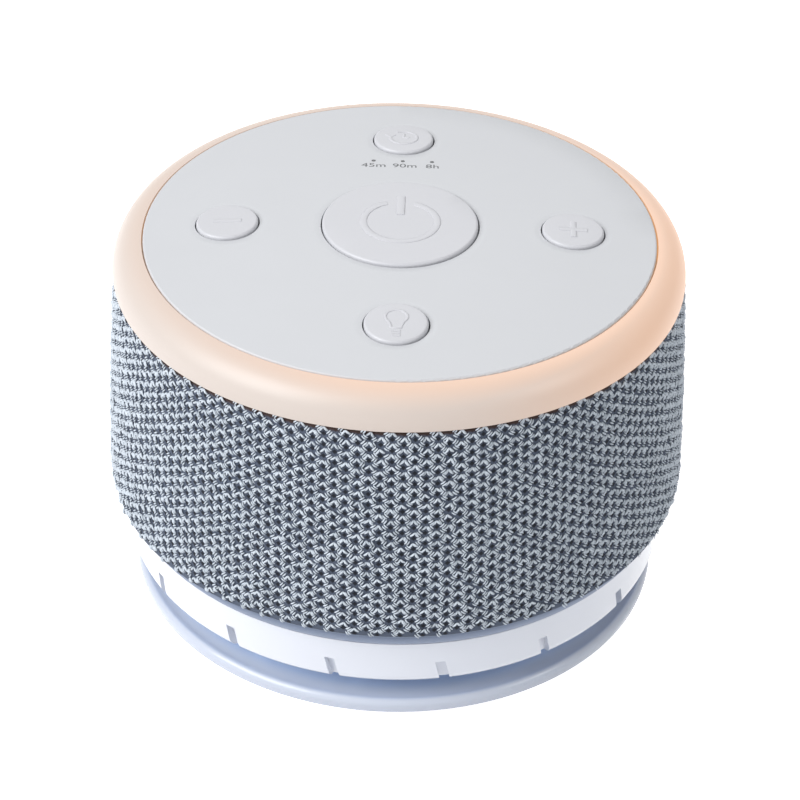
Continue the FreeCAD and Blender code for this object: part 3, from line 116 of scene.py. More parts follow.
class Tree:
    """A shader or geometry node tree that is built by calls and expressions."""

    def __init__(self, tree: bpy.types.NodeTree) -> None:
        """Takes an empty tree."""
        self.tree = tree

    def node(self, kind: str, sockets: dict[Any, Any] | None = None,
             **settings: Any) -> bpy.types.Node:
        """Adds a node.

        Args:
            kind: The node's type.
            sockets: Values or links of its inputs, by name or number.
            **settings: Its own settings, set first. "stops" holds a ramp's places and colours.

        Returns:
            The node.
        """
        made = self.tree.nodes.new(kind)
        for key, value in settings.items():
            if key == "stops":
                self._set_stops(made.color_ramp, value)
            else:
                setattr(made, key, value)
        for key, value in (sockets or {}).items():
            if isinstance(value, Wire):
                value = value.socket
            if isinstance(value, bpy.types.NodeSocket):
                self.tree.links.new(value, made.inputs[key])
            else:
                made.inputs[key].default_value = value
        return made

    @staticmethod
    def _set_stops(ramp: bpy.types.ColorRamp, stops: Sequence[tuple[float, Colour]]) -> None:
        """Gives a ramp its stops, in rising order."""
        while len(ramp.elements) < len(stops):
            ramp.elements.new(0.5)
        for element, (place, colour) in zip(ramp.elements, stops):
            element.position = place
            element.color = (*colour, 1)

    def wire(self, kind: str, sockets: dict[Any, Any] | None = None, output: Any = 0,
             **settings: Any) -> Wire:
        """Adds a node, as node does, and wraps its output of that name or number."""
        return Wire(self, self.node(kind, sockets, **settings).outputs[output])

    def math(self, operation: str, *values: Any) -> Wire:
        """Adds a Math node on numbers or wires and returns its result."""
        return self.wire("ShaderNodeMath", dict(enumerate(values)), operation=operation)

    def parts(self, vector: Wire) -> tuple[Wire, Wire, Wire]:
        """Splits a vector into its three numbers."""
        split = self.node("ShaderNodeSeparateXYZ", {0: vector})
        return tuple(Wire(self, out) for out in split.outputs)

    def join(self, across: Any, forward: Any, upward: Any) -> Wire:
        """Makes a vector of three numbers."""
        return self.wire("ShaderNodeCombineXYZ", {0: across, 1: forward, 2: upward})

    def looked_at(self) -> Wire:
        """1 where the camera or a reflection looks, 0 where only light arrives."""
        path = self.node("ShaderNodeLightPath")
        rays = (path.outputs["Is Camera Ray"], path.outputs["Is Glossy Ray"])
        return self.math("MAXIMUM", *(Wire(self, ray) for ray in rays))


class Paint(Tree):
    """A material with one principled shader."""

    def __init__(self, name: str) -> None:
        """Makes an empty material of that name."""
        self.material = bpy.data.materials.new(name)
        self.material.use_nodes = True
        super().__init__(self.material.node_tree)
        self.tree.nodes.clear()
        self.shader = self.node("ShaderNodeBsdfPrincipled")
        self.node("ShaderNodeOutputMaterial", {0: self.shader.outputs[0]})

    def set(self, **sockets: Any) -> None:
        """Sets the principled shader's sockets. A name's underscores stand for spaces."""
        for key, value in sockets.items():
            socket = self.shader.inputs[key.replace("_", " ")]
            if isinstance(value, Wire):
                self.tree.links.new(value.socket, socket)
            elif isinstance(value, tuple) and len(value) == 3 and len(socket.default_value) == 4:
                socket.default_value = (*value, 1)
            else:
                socket.default_value = value

    def place(self) -> Wire:
        """Object coordinates, in metres."""
        return self.wire("ShaderNodeTexCoord", output="Object")

    def noise(self, size: float, detail: float = 2.0, stretch: Colour = (1, 1, 1)) -> Wire:
        """Cloudy noise from 0 to 1 on object coordinates.

        Args:
            size: The clouds' size in metres.
            detail: How many finer layers are added.
            stretch: Scale along each axis, above 1 for finer.

        Returns:
            The noise.
        """
        mapped = self.wire("ShaderNodeMapping", {"Vector": self.place(), "Scale": stretch})
        return self.wire("ShaderNodeTexNoise",
                         {"Vector": mapped, "Scale": 1 / size, "Detail": detail})

    def mix(self, share: Any, first: Any, second: Any) -> Wire:
        """Mixes two colours or wires: a share of 0 gives the first, 1 the second."""
        full = [(*c, 1) if isinstance(c, tuple) else c for c in (first, second)]
        return self.wire("ShaderNodeMix", {0: share, 6: full[0], 7: full[1]}, 2,
                         data_type="RGBA")

    def bump(self, height: Wire, depth: float) -> Wire:
        """A normal from a height of 0 to 1, which stands for that depth in metres."""
        return self.wire("ShaderNodeBump",
                         {"Height": height, "Distance": depth, "Strength": 1.0})


# Finishes

@dataclass(frozen=True)
class Recipe:
    """A finish: the name of its material and how its shader is set."""

    name: str

    def make(self) -> bpy.types.Material:
        """Builds the material."""
        paint = Paint(self.name)
        self.fill(paint)
        return paint.material

    def fill(self, paint: Paint) -> None:
        """Sets the shader of an empty material."""
        raise NotImplementedError


@dataclass(frozen=True)
class Moulded(Recipe):
    """Moulded plastic: an even colour with faint clouds, a fine grain and uneven gloss."""

    colour: Colour
    roughness: float = 0.42
    clouds: float = 0.025
    grain: float = 0.006 * MM
    grain_size: float = 0.35 * MM
    coat: float = 0.0

    def fill(self, paint: Paint) -> None:
        """Sets the shader."""
        cloud = paint.noise(18 * MM, 3)
        fine = paint.noise(self.grain_size, 1)
        paint.set(Base_Color=self.colouring(paint, cloud),
                  Roughness=fine * 0.08 + cloud * 0.06 + (self.roughness - 0.07),
                  Normal=self.relief(paint, fine), IOR=1.49, Coat_Weight=self.coat,
                  Coat_Roughness=0.15)

    def colouring(self, paint: Paint, cloud: Wire) -> Wire:
        """The colour, a little darker and lighter in its clouds."""
        dark = tuple(c * (1 - self.clouds) for c in self.colour)
        light = tuple(min(1.0, c * (1 + self.clouds)) for c in self.colour)
        return paint.mix(cloud, dark, light)

    def relief(self, paint: Paint, fine: Wire) -> Wire:
        """The normal of the surface's grain."""
        return paint.bump(fine, self.grain)


@dataclass(frozen=True)
class Dished(Moulded):
    """Moulded plastic that dips a little towards the edge of each round hole."""

    holes: tuple[Colour, ...] = ()
    dish_width: float = 1.9 * MM
    dish_depth: float = 0.20 * MM

    def relief(self, paint: Paint, fine: Wire) -> Wire:
        """The normal of the grain and of the dish round every hole (across, forward, radius)."""
        across, forward, _ = paint.parts(paint.place())
        nearest = None
        for x, y, radius in self.holes:
            off, ahead = across - x, forward - y
            clear = (off * off + ahead * ahead) ** 0.5 - radius
            nearest = clear if nearest is None else nearest.math("MINIMUM", clear)
        flat = nearest.ramp(-0.2 * self.dish_width, self.dish_width)
        return paint.bump(flat + fine * (self.grain / self.dish_depth), self.dish_depth)


@dataclass(frozen=True)
class Layered(Moulded):
    """Moulded plastic whose colour changes with the height, as pairs from the lowest up."""

    layers: tuple[tuple[float, Colour], ...] = ()

    def colouring(self, paint: Paint, cloud: Wire) -> Wire:
        """The colour at each height, with faint clouds."""
        _, _, upward = paint.parts(paint.place())
        low, high = self.layers[0][0], self.layers[-1][0]
        stops = [((height - low) / (high - low), colour) for height, colour in self.layers]
        rise = (upward - low) / (high - low)
        layer = paint.wire("ShaderNodeValToRGB", {0: rise}, stops=stops)
        return paint.mix(cloud * self.clouds * 2, layer, self.colour)


@dataclass(frozen=True)
class Metal(Recipe):
    """Plated or drawn metal with fine lines along one axis."""

    colour: Colour
    roughness: float = 0.35
    lines: Colour = (1, 1, 14)

    def fill(self, paint: Paint) -> None:
        """Sets the shader."""
        streak = paint.noise(1.6 * MM, 3, self.lines)
        stain = paint.noise(9 * MM, 2)
        dark = tuple(c * 0.86 for c in self.colour)
        paint.set(Base_Color=paint.mix(stain, dark, self.colour), Metallic=1.0,
                  Roughness=streak * 0.16 + (self.roughness - 0.08),
                  Normal=paint.bump(streak, 0.004 * MM))


@dataclass(frozen=True)
class Rubber(Recipe):
    """Matt rubber or soft insulation with a dusty skin."""

    colour: Colour
    roughness: float = 0.82

    def fill(self, paint: Paint) -> None:
        """Sets the shader."""
        dust = paint.noise(2.2 * MM, 4)
        dusty = tuple(c * 0.8 + 0.05 for c in self.colour)
        paint.set(Base_Color=paint.mix(dust.ramp(0.45, 0.8), self.colour, dusty),
                  Roughness=dust * 0.1 + (self.roughness - 0.05),
                  Normal=paint.bump(paint.noise(0.3 * MM, 2), 0.015 * MM))


@dataclass(frozen=True)
class Windings(Recipe):
    """Enamelled copper wire laid in turns, or copper bars, with painted shade in the grooves
    between the turns.
    """

    colour: Colour
    pitch: float = 0.45 * MM

    def fill(self, paint: Paint) -> None:
        """Sets the shader."""
        across, _, upward = paint.parts(paint.place())
        turn = ((upward + across * 0.35) / self.pitch % 1.0 - 0.5).size() * 2
        # Painted shade: the groove between turns is darkened to a quarter of the copper's colour.
        gap = turn.ramp(0.75, 1.0)
        dark = tuple(c * 0.25 for c in self.colour)
        paint.set(Base_Color=paint.mix(gap, self.colour, dark), Metallic=0.9,
                  Roughness=paint.noise(1.2 * MM) * 0.2 + 0.25,
                  Normal=paint.bump(1 - turn * turn, 0.12 * MM), Coat_Weight=0.4)


@dataclass(frozen=True)
class Board(Recipe):
    """Circuit board: solder mask over faint square tracks."""

    mask: Colour
    track: Colour
    spacing: float = 2.54 * MM

    def fill(self, paint: Paint) -> None:
        """Sets the shader."""
        across, forward, _ = paint.parts(paint.place())
        wander = paint.noise(7 * MM, 1)
        lines = [((side / self.spacing + wander * 1.5) % 1.0 - 0.5).size().ramp(0.40, 0.44)
                 for side in (across, forward)]
        pick = paint.noise(5 * MM, 0).ramp(0.49, 0.51)
        copper = lines[0] * pick + lines[1] * (1 - pick)
        paint.set(Base_Color=paint.mix(copper, self.mask, self.track),
                  Roughness=0.34 - copper * 0.06, Normal=paint.bump(copper, 0.03 * MM))


@dataclass(frozen=True)
class LitRing(Recipe):
    """Translucent plastic lit from inside: warmest where it meets the panel, and on the right.

    Attributes:
        warm, pale: The glow near the panel and low down.
        left_warmth: How warm the glow gets at the far left, as a share of the front's.
        right_warmth: How warm it is at the far right, at any height.
        back_loss: How much of the warmth is gone at the back.
        glow: The glow's strength.
        glow_patches, glow_right: What cloudy patches and the right side add to it.
    """

    low: float
    high: float
    inner: float
    outer: float
    skin: Colour
    warm: Colour
    pale: Colour
    left_warmth: float = 0.3
    right_warmth: float = 0.85
    back_loss: float = 0.7
    glow: float = 0.92
    glow_patches: float = 0.1
    glow_right: float = 0.14

    def fill(self, paint: Paint) -> None:
        """Sets the shader."""
        across, forward, upward = paint.parts(paint.place())
        reach = (across * across + forward * forward) ** 0.5
        rise = (upward - self.low) / (self.high - self.low)
        out = (reach - self.inner) / (self.outer - self.inner)
        near_panel = (rise * 0.45 + (1 - out) * 0.55).ramp(0.25, 1.0)
        past_left = (across / self.outer).ramp(-0.9, 0.1)
        right = (across / self.outer).ramp(0.1, 0.95)
        back = (forward / self.outer).ramp(0.1, 1.0)
        patch = paint.noise(16 * MM, 1)
        front = near_panel * (past_left * (1 - self.left_warmth) + self.left_warmth)
        warmth = front.math("MAXIMUM", right * self.right_warmth) * (1 - back * self.back_loss)
        glow = paint.mix(warmth, self.pale, self.warm)
        power = self.glow + patch * self.glow_patches + right * self.glow_right
        lamp = paint.wire("ShaderNodeVectorMath", {0: glow, "Scale": power}, operation="SCALE")
        paint.set(Base_Color=paint.mix(patch, self.skin, tuple(c * 0.97 for c in self.skin)),
                  Roughness=patch * 0.1 + 0.36, Emission_Color=lamp, Emission_Strength=1.0,
                  Normal=paint.bump(paint.noise(0.4 * MM, 1), 0.004 * MM))


@dataclass(frozen=True)
class Lamp(Recipe):
    """A small LED or smoked light pipe."""

    colour: Colour
    glow: float = 0.0

    def fill(self, paint: Paint) -> None:
        """Sets the shader."""
        patch = paint.noise(0.6 * MM)
        paint.set(Base_Color=paint.mix(patch, self.colour, tuple(c * 0.8 for c in self.colour)),
                  Roughness=patch * 0.1 + 0.12, Emission_Color=self.colour,
                  Emission_Strength=self.glow)


@dataclass(frozen=True)
class Yarn(Recipe):
    """The knit's light yarn, with fibres along it: a painted highlight along each stitch's back,
    and painted shade on its inward flank and at its tips.
    """

    light: Colour
    dull: Colour

    def fill(self, paint: Paint) -> None:
        """Sets the shader from each stitch's own tone and the place along and across it."""
        tone = paint.wire("ShaderNodeAttribute", output="Fac", attribute_name="tone")
        spot = paint.wire("ShaderNodeAttribute", output="Vector", attribute_name="stitch")
        along, across, depth = paint.parts(spot)
        fibre = paint.noise(0.16 * MM, 2)
        # Painted shade: darker at each stroke's tips, where it dips into the cloth, and on its
        # inward flank; fibre and tone add random real variation.
        tip = along.size().ramp(0.22, 0.5)
        flank = depth.ramp(0.35, -0.35)
        shade_and_tone = tip * 0.45 + flank * 0.55 + (fibre - 0.5) * 0.5 + (tone - 0.5) * 0.35
        twist = ((along * 3.2 + across * 0.9) % 1.0 - 0.5).size() * 2
        paint.set(Base_Color=paint.mix(shade_and_tone, self.light, self.dull),
                  Roughness=fibre * 0.1 + 0.78,
                  Normal=paint.bump(twist * 0.5 + fibre * 0.5, 0.05 * MM),
                  Sheen_Weight=0.25, Sheen_Roughness=0.5)


@dataclass(frozen=True)
class Backing(Recipe):
    """The knit's dark ground: star-shaped gaps of painted shade, nearly black in the middle, in a
    grey web.

    Attributes:
        tuck: Painted shade at the top, where the ground tucks under the ring.
        phase: The height of an even column's first gap, in courses.
        courses: The ground's whole height, in courses.
        pointed: The power that draws a gap out into a star.
    """

    web: Colour
    gap: Colour
    tuck: Colour
    column: float
    course: float
    phase: float
    courses: float
    pointed: float = 1.1

    def fill(self, paint: Paint) -> None:
        """Sets the shader from a UV map that counts columns and courses."""
        spot = paint.wire("ShaderNodeTexCoord", output="UV")
        column, course, _ = paint.parts(spot)
        nearest = (column + 0.5).floor()
        shift = (nearest % 2.0) * -0.5 + self.phase
        rise = (course - shift + 0.5) % 1.0 - 0.5
        aside = (column - nearest).size()
        near = (aside * self.column) ** self.pointed + (rise.size() * self.course) ** self.pointed
        fluff = paint.noise(0.25 * MM, 2)
        clear = (near / MM ** self.pointed + fluff * 0.2).ramp(0.42, 1.1)
        # Painted shade: each star-shaped gap darkens to near black in its middle.
        star = paint.mix(clear, self.gap, self.web)
        # Painted shade: the top of the ground darkens under the ring.
        paint.set(Base_Color=paint.mix(course.ramp(self.courses - 0.55, self.courses - 0.2),
                                       star, self.tuck),
                  Roughness=0.95, Normal=paint.bump(fluff, 0.06 * MM))


class Finish(Enum):
    """The finishes that need no measure of the object, by the record's material slot."""

    panel = Moulded("panel", tint(202, 204, 208), 0.46)
    button = Moulded("button", tint(201, 202, 207), 0.40)
    collar = Moulded("collar", tint(218, 222, 232), 0.34, coat=1.0)
    shell = Moulded("shell", tint(214, 214, 212), 0.5)
    impeller = Moulded("impeller", tint(58, 60, 64), 0.45)
    black_plastic = Moulded("black_plastic", tint(38, 39, 42), 0.5)
    rubber = Rubber("rubber", tint(52, 53, 56))
    lead = Rubber("lead", tint(35, 35, 38), 0.55)
    magnet = Rubber("magnet", tint(58, 57, 58), 0.7)
    steel = Metal("steel", (0.62, 0.62, 0.63))
    brass = Metal("brass", (0.72, 0.55, 0.28), 0.42)
    capacitor = Metal("capacitor", (0.7, 0.7, 0.72), 0.3)
    copper = Windings("copper", (0.72, 0.32, 0.12))
    board_white = Board("board_white", tint(228, 228, 222), tint(214, 214, 205))
    board_green = Board("board_green", tint(22, 92, 56), tint(48, 132, 86))
    led = Lamp("led", (1.0, 0.86, 0.55), 0.6)
    light_pipe = Lamp("light_pipe", tint(70, 72, 76))
    ink = Moulded("ink", tint(104, 106, 108), 0.6, grain=0.0)


class Workshop:
    """Makes each finish once, and turns drawn shapes into the pieces of the object."""

    def __init__(self) -> None:
        """Starts with no material made."""
        self.made: dict[str, bpy.types.Material] = {}

    def material(self, finish: Recipe | Finish) -> bpy.types.Material:
        """The material of a finish, made at its first use."""
        recipe = finish.value if isinstance(finish, Enum) else finish
        if recipe.name not in self.made:
            self.made[recipe.name] = recipe.make()
        return self.made[recipe.name]

    def piece(self, name: str, mesh: bpy.types.Mesh, finish: Recipe | Finish, body: str,
              slot: str) -> bpy.types.Object:
        """Shows a mesh as a piece of the object.

        Args:
            name: The piece's name.
            mesh: Its mesh, in place.
            finish: Its finish.
            body: The CAD body that it rides on.
            slot: The record's material slot; not used.

        Returns:
            The piece.
        """
        mesh.materials.clear()
        mesh.materials.append(self.material(finish))
        made = placed(name, mesh)
        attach(made, body)
        log.info("%s: %d faces on %s", name, len(mesh.polygons), body)
        return made


def placed(name: str, data: bpy.types.ID) -> bpy.types.Object:
    """Makes an object of that data and links it into the scene."""
    made = bpy.data.objects.new(name, data)
    bpy.context.scene.collection.objects.link(made)
    return made


def mesh_of(maker: bpy.types.Object) -> bpy.types.Mesh:
    """The evaluated mesh of an object, which is then removed."""
    bpy.context.view_layer.update()
    graph = bpy.context.evaluated_depsgraph_get()
    mesh = bpy.data.meshes.new_from_object(
        maker.evaluated_get(graph), preserve_all_data_layers=True, depsgraph=graph)
    bpy.data.objects.remove(maker)
    return mesh


def curve_of(name: str, lines: Sequence[Sequence[Colour]]) -> bpy.types.Curve:
    """Makes a curve of straight lines through points.

    Args:
        name: The curve's name.
        lines: Each line's points. A line that ends where it starts is closed.

    Returns:
        The curve.
    """
    curve = bpy.data.curves.new(name, "CURVE")
    curve.dimensions = "3D"
    for places in lines:
        closed = places[0] == places[-1]
        line = curve.splines.new("POLY")
        line.points.add(len(places) - 1 - closed)
        line.use_cyclic_u = closed
        for point, place in zip(line.points, places):
            point.co = (*place, 1)
    return curve


def length(path: Sequence[Point]) -> float:
    """How long a path of points is."""
    return sum(math.dist(*pair) for pair in zip(path, path[1:]))


def arc(start: Point, via: Point, end: Point, steps: int) -> list[Point]:
    """Points along the arc through three points, without its start.

    Args:
        start: The arc's start.
        via: A point on the way.
        end: The arc's end.
        steps: How many points to give.

    Returns:
        The points, the last at end.
    """
    (ax, ay), (bx, by), (cx, cy) = start, via, end
    twice = 2 * (ax * (by - cy) + bx * (cy - ay) + cx * (ay - by))
    a, b, c = (x * x + y * y for x, y in (start, via, end))
    middle = ((a * (by - cy) + b * (cy - ay) + c * (ay - by)) / twice,
              (a * (cx - bx) + b * (ax - cx) + c * (bx - ax)) / twice)
    radius = math.dist(middle, start)
    first, past, last = (math.atan2(y - middle[1], x - middle[0]) for x, y in (start, via, end))
    turn = (last - first) % math.tau
    if (past - first) % math.tau > turn:
        turn -= math.tau
    return [(middle[0] + radius * math.cos(first + turn * i / steps),
             middle[1] + radius * math.sin(first + turn * i / steps)) for i in range(1, steps + 1)]


# Knit sleeve

@dataclass
class Sleeve:
    """The knit sleeve: a dark ground, and light stitches over it that leave star-shaped gaps.

    Attributes:
        phase: The height of an even column's first gap, in courses.
        round_up: What is added to the courses that fit before the rest is cut off.
        turn_rise: How far the foot's turn reaches up the side.
        turn_out, turn_up: How far out and up a point on that turn lies, as shares.
        bulge: How far the side bows out.
        foot_swell: How much fuller the foot is than the CAD solid's.
        stitch_height: Half a stitch's thickness outwards.
    """

    shop: Workshop
    columns: int = 168
    course: float = 3.03 * MM
    phase: float = 0.65
    round_up: float = 0.7
    turn_rise: float = 5.6 * MM
    turn_out: float = 0.84
    turn_up: float = 0.34
    bulge: float = 0.3 * MM
    foot_swell: float = 1.3 * MM
    ground_depth: float = 0.58 * MM
    ground_thick: float = 0.30 * MM
    stitch_depth: float = 0.30 * MM
    stitch_height: float = 0.29 * MM
    seed: int = 11

    def __post_init__(self) -> None:
        """Reads the sleeve's radii and heights from its CAD solid."""
        low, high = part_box("fabric_sleeve")
        ends = {low.z: 0.0, high.z: 0.0}
        for vertex in frame["nodes"]["fabric_sleeve"].data.vertices:
            for level in ends:
                if abs(vertex.co.z - level) < 0.01 * MM:
                    ends[level] = max(ends[level], vertex.co.xy.length)
        self.low, self.high = low.z, high.z
        self.low_radius, self.high_radius = ends[low.z] + self.foot_swell, ends[high.z]
        self.wide_radius = high.x
        self.column = math.tau * high.x / self.columns

    def side(self, inset: float) -> list[Point]:
        """The sleeve's side from its foot to its top at an inset, as radius and height."""
        foot = (self.low_radius - inset, self.low)
        wide = (self.wide_radius - inset, self.low + self.turn_rise)
        top = (self.high_radius - inset, self.high)
        bend = (foot[0] + (wide[0] - foot[0]) * self.turn_out,
                self.low + self.turn_rise * self.turn_up)
        bow = ((wide[0] + top[0]) / 2 + self.bulge, (wide[1] + top[1]) / 2)
        return [foot, *arc(foot, bend, wide, 10), *arc(wide, bow, top, 40)]

    def ground(self) -> bpy.types.Object:
        """Makes the closed dark ground, whose UV map counts columns and courses."""
        outside = self.side(self.ground_depth)
        inside = self.side(self.ground_depth + self.ground_thick)
        ring = outside + inside[::-1]
        courses = [length(outside[:i + 1]) / self.course for i in range(len(outside))]
        courses += courses[::-1]
        steps = self.columns * 2
        shape = bmesh.new()
        layer = shape.loops.layers.uv.new("knit")
        rows = []
        for step in range(steps):
            angle = math.tau * step / steps
            rows.append([shape.verts.new((r * math.cos(angle), r * math.sin(angle), z))
                         for r, z in ring])
        for step in range(steps):
            here, after = rows[step], rows[(step + 1) % steps]
            for i in range(len(ring)):
                j = (i + 1) % len(ring)
                face = shape.faces.new((here[i], after[i], after[j], here[j]))
                face.smooth = True
                for loop, (a, b) in zip(face.loops, ((0, i), (1, i), (1, j), (0, j))):
                    loop[layer].uv = ((step + a) / 2, courses[b])
        bmesh.ops.recalc_face_normals(shape, faces=shape.faces)
        mesh = bpy.data.meshes.new("fabric_ground")
        shape.to_mesh(mesh)
        shape.free()
        finish = Backing("knit_ground", tint(82, 91, 108), tint(18, 22, 31), tint(58, 42, 38),
                         self.column, self.course, self.phase, max(courses))
        made = self.shop.piece("fabric_ground", mesh, finish, "root", "fabric")
        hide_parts("fabric_sleeve")
        return made

    def stroke_mesh(self, name: str, strokes: Sequence["Stroke"]) -> bpy.types.Object:
        """One knit motif: a hidden object that holds its strokes, flat, in columns and courses.

        Args:
            name: The object's name.
            strokes: The strokes of yarn.

        Returns:
            The object, whose attribute stitch gives each point's place in its stroke.
        """
        points, faces, spots = [], [], []
        for stroke in strokes:
            stroke.build(self.column, self.course, self.stitch_height, points, faces, spots)
        mesh = bpy.data.meshes.new(name)
        mesh.from_pydata(points, [], faces)
        mesh.shade_smooth()
        mesh.attributes.new("stitch", "FLOAT_VECTOR", "POINT").data.foreach_set(
            "vector", [value for spot in spots for value in spot])
        return placed(name, mesh)

    def knit(self, name: str, strokes: Sequence["Stroke"], odd: int) -> bpy.types.Object:
        """Repeats a motif at every gap of the knit whose stitches fit on the sleeve.

        Args:
            name: The piece's name.
            strokes: The motif's strokes.
            odd: 1 where the odd columns start lowest, half a course below the even ones.

        Returns:
            The piece.
        """
        rise = self.phase - 0.5 * odd
        reach = max(max(stroke.start[1], stroke.end[1]) for stroke in strokes)
        fit = length(self.side(self.stitch_depth)) / self.course - rise - reach
        motif = self.stroke_mesh(name + "_motif", strokes)
        side = [(radius, 0, height) for radius, height in self.side(self.stitch_depth)]
        guide = placed(name + "_side", curve_of(name + "_side", [side]))
        host = placed(name, bpy.data.meshes.new(name))
        yarn = Yarn("knit_yarn", tint(210, 219, 229), tint(104, 117, 132))
        modifier = host.modifiers.new("knit", "NODES")
        modifier.node_group = knit_tree()
        values = {
            "Motif": motif, "Side": guide, "Columns": self.columns,
            "Courses": int(fit + self.round_up), "Course": self.course,
            "Rise": rise, "Odd": odd, "Widest": self.wide_radius, "Seed": self.seed,
            "Finish": self.shop.material(yarn)}
        for item in modifier.node_group.interface.items_tree:
            if item.in_out == "INPUT":
                modifier[item.identifier] = values[item.name]
        mesh = mesh_of(host)
        for helper in (motif, guide):
            bpy.data.objects.remove(helper)
        return self.shop.piece(name, mesh, yarn, "root", "fabric")

    def build(self) -> None:
        ground = self.ground()
        roofs = self.knit("fabric_roof_stitches", ROOF, 1)
        links = [self.knit("fabric_rising_stitches", RISING, 0),
                 self.knit("fabric_falling_stitches", FALLING, 0)]
        tall = length(self.side(0.0))


@dataclass(frozen=True)
class Stroke:
    """One short length of yarn in a motif, from start to end in columns and courses."""

    start: Point
    end: Point
    width: float

    def build(self, column: float, course: float, height: float, points: list, faces: list,
              spots: list) -> None:
        """Adds the stroke: a spindle of four sides whose ends dip into the cloth.

        Args:
            column: A column's width.
            course: A course's height.
            height: Half the yarn's thickness outwards.
            points: The motif's points so far.
            faces: Its faces so far.
            spots: Each point's place along, across and out of its stroke so far.
        """
        a = Vector((self.start[0] * column, self.start[1] * course, 0))
        b = Vector((self.end[0] * column, self.end[1] * course, 0))
        along = b - a
        aside = Vector((-along.y, along.x, 0)).normalized() * (self.width / 2)
        first = len(points)
        for share, girth in SPINDLE:
            dip = height * (CREST - DIP * share * share)
            middle = a + along * (share + 0.5) + Vector((0, 0, dip))
            ring = SECTION if girth else ((0, 0),)
            for sideways, out in ring:
                points.append(middle + aside * (sideways * girth)
                              + Vector((0, 0, height * out * girth)))
                spots.append((share, sideways * girth / 2, out * girth))
        for k in range(4):
            after = (k + 1) % 4
            faces.append((first, first + 1 + after, first + 1 + k))
            faces.append((first + 13, first + 9 + k, first + 9 + after))
            for ring in (first + 1, first + 5):
                faces.append((ring + k, ring + after, ring + 4 + after, ring + 4 + k))


# A stroke's places along it with its girth there, its section, and how far it rises and dips
SPINDLE = ((-0.5, 0), (-0.38, 0.8), (0.0, 1.0), (0.38, 0.8), (0.5, 0))
SECTION = ((0, 1), (1, -0.1), (0, -1), (-1, -0.1))
CREST, DIP = 0.3, 4.0
# The strokes over each gap, and the pairs that rise and fall from it to the next column
ROOF = (Stroke((0.03, 0.70), (-0.40, 0.22), 0.60 * MM),
        Stroke((-0.04, 0.70), (0.41, 0.22), 0.70 * MM))
RISING = (Stroke((0.22, -0.03), (0.63, 0.35), 0.43 * MM),
          Stroke((0.38, -0.16), (0.79, 0.22), 0.43 * MM))
FALLING = (Stroke((0.38, -0.16), (0.79, -0.52), 0.43 * MM),
           Stroke((0.22, -0.30), (0.63, -0.66), 0.43 * MM))
# The least and most that a stitch turns, in radians, and swells
SWAY = ((-0.12, -0.12, -0.20), (0.12, 0.12, 0.20))
SWELL = ((0.88, 0.88, 0.80), (1.08, 1.08, 1.15))
# Keeps a division's rounding error from lowering a whole number
NUDGE = 0.00001


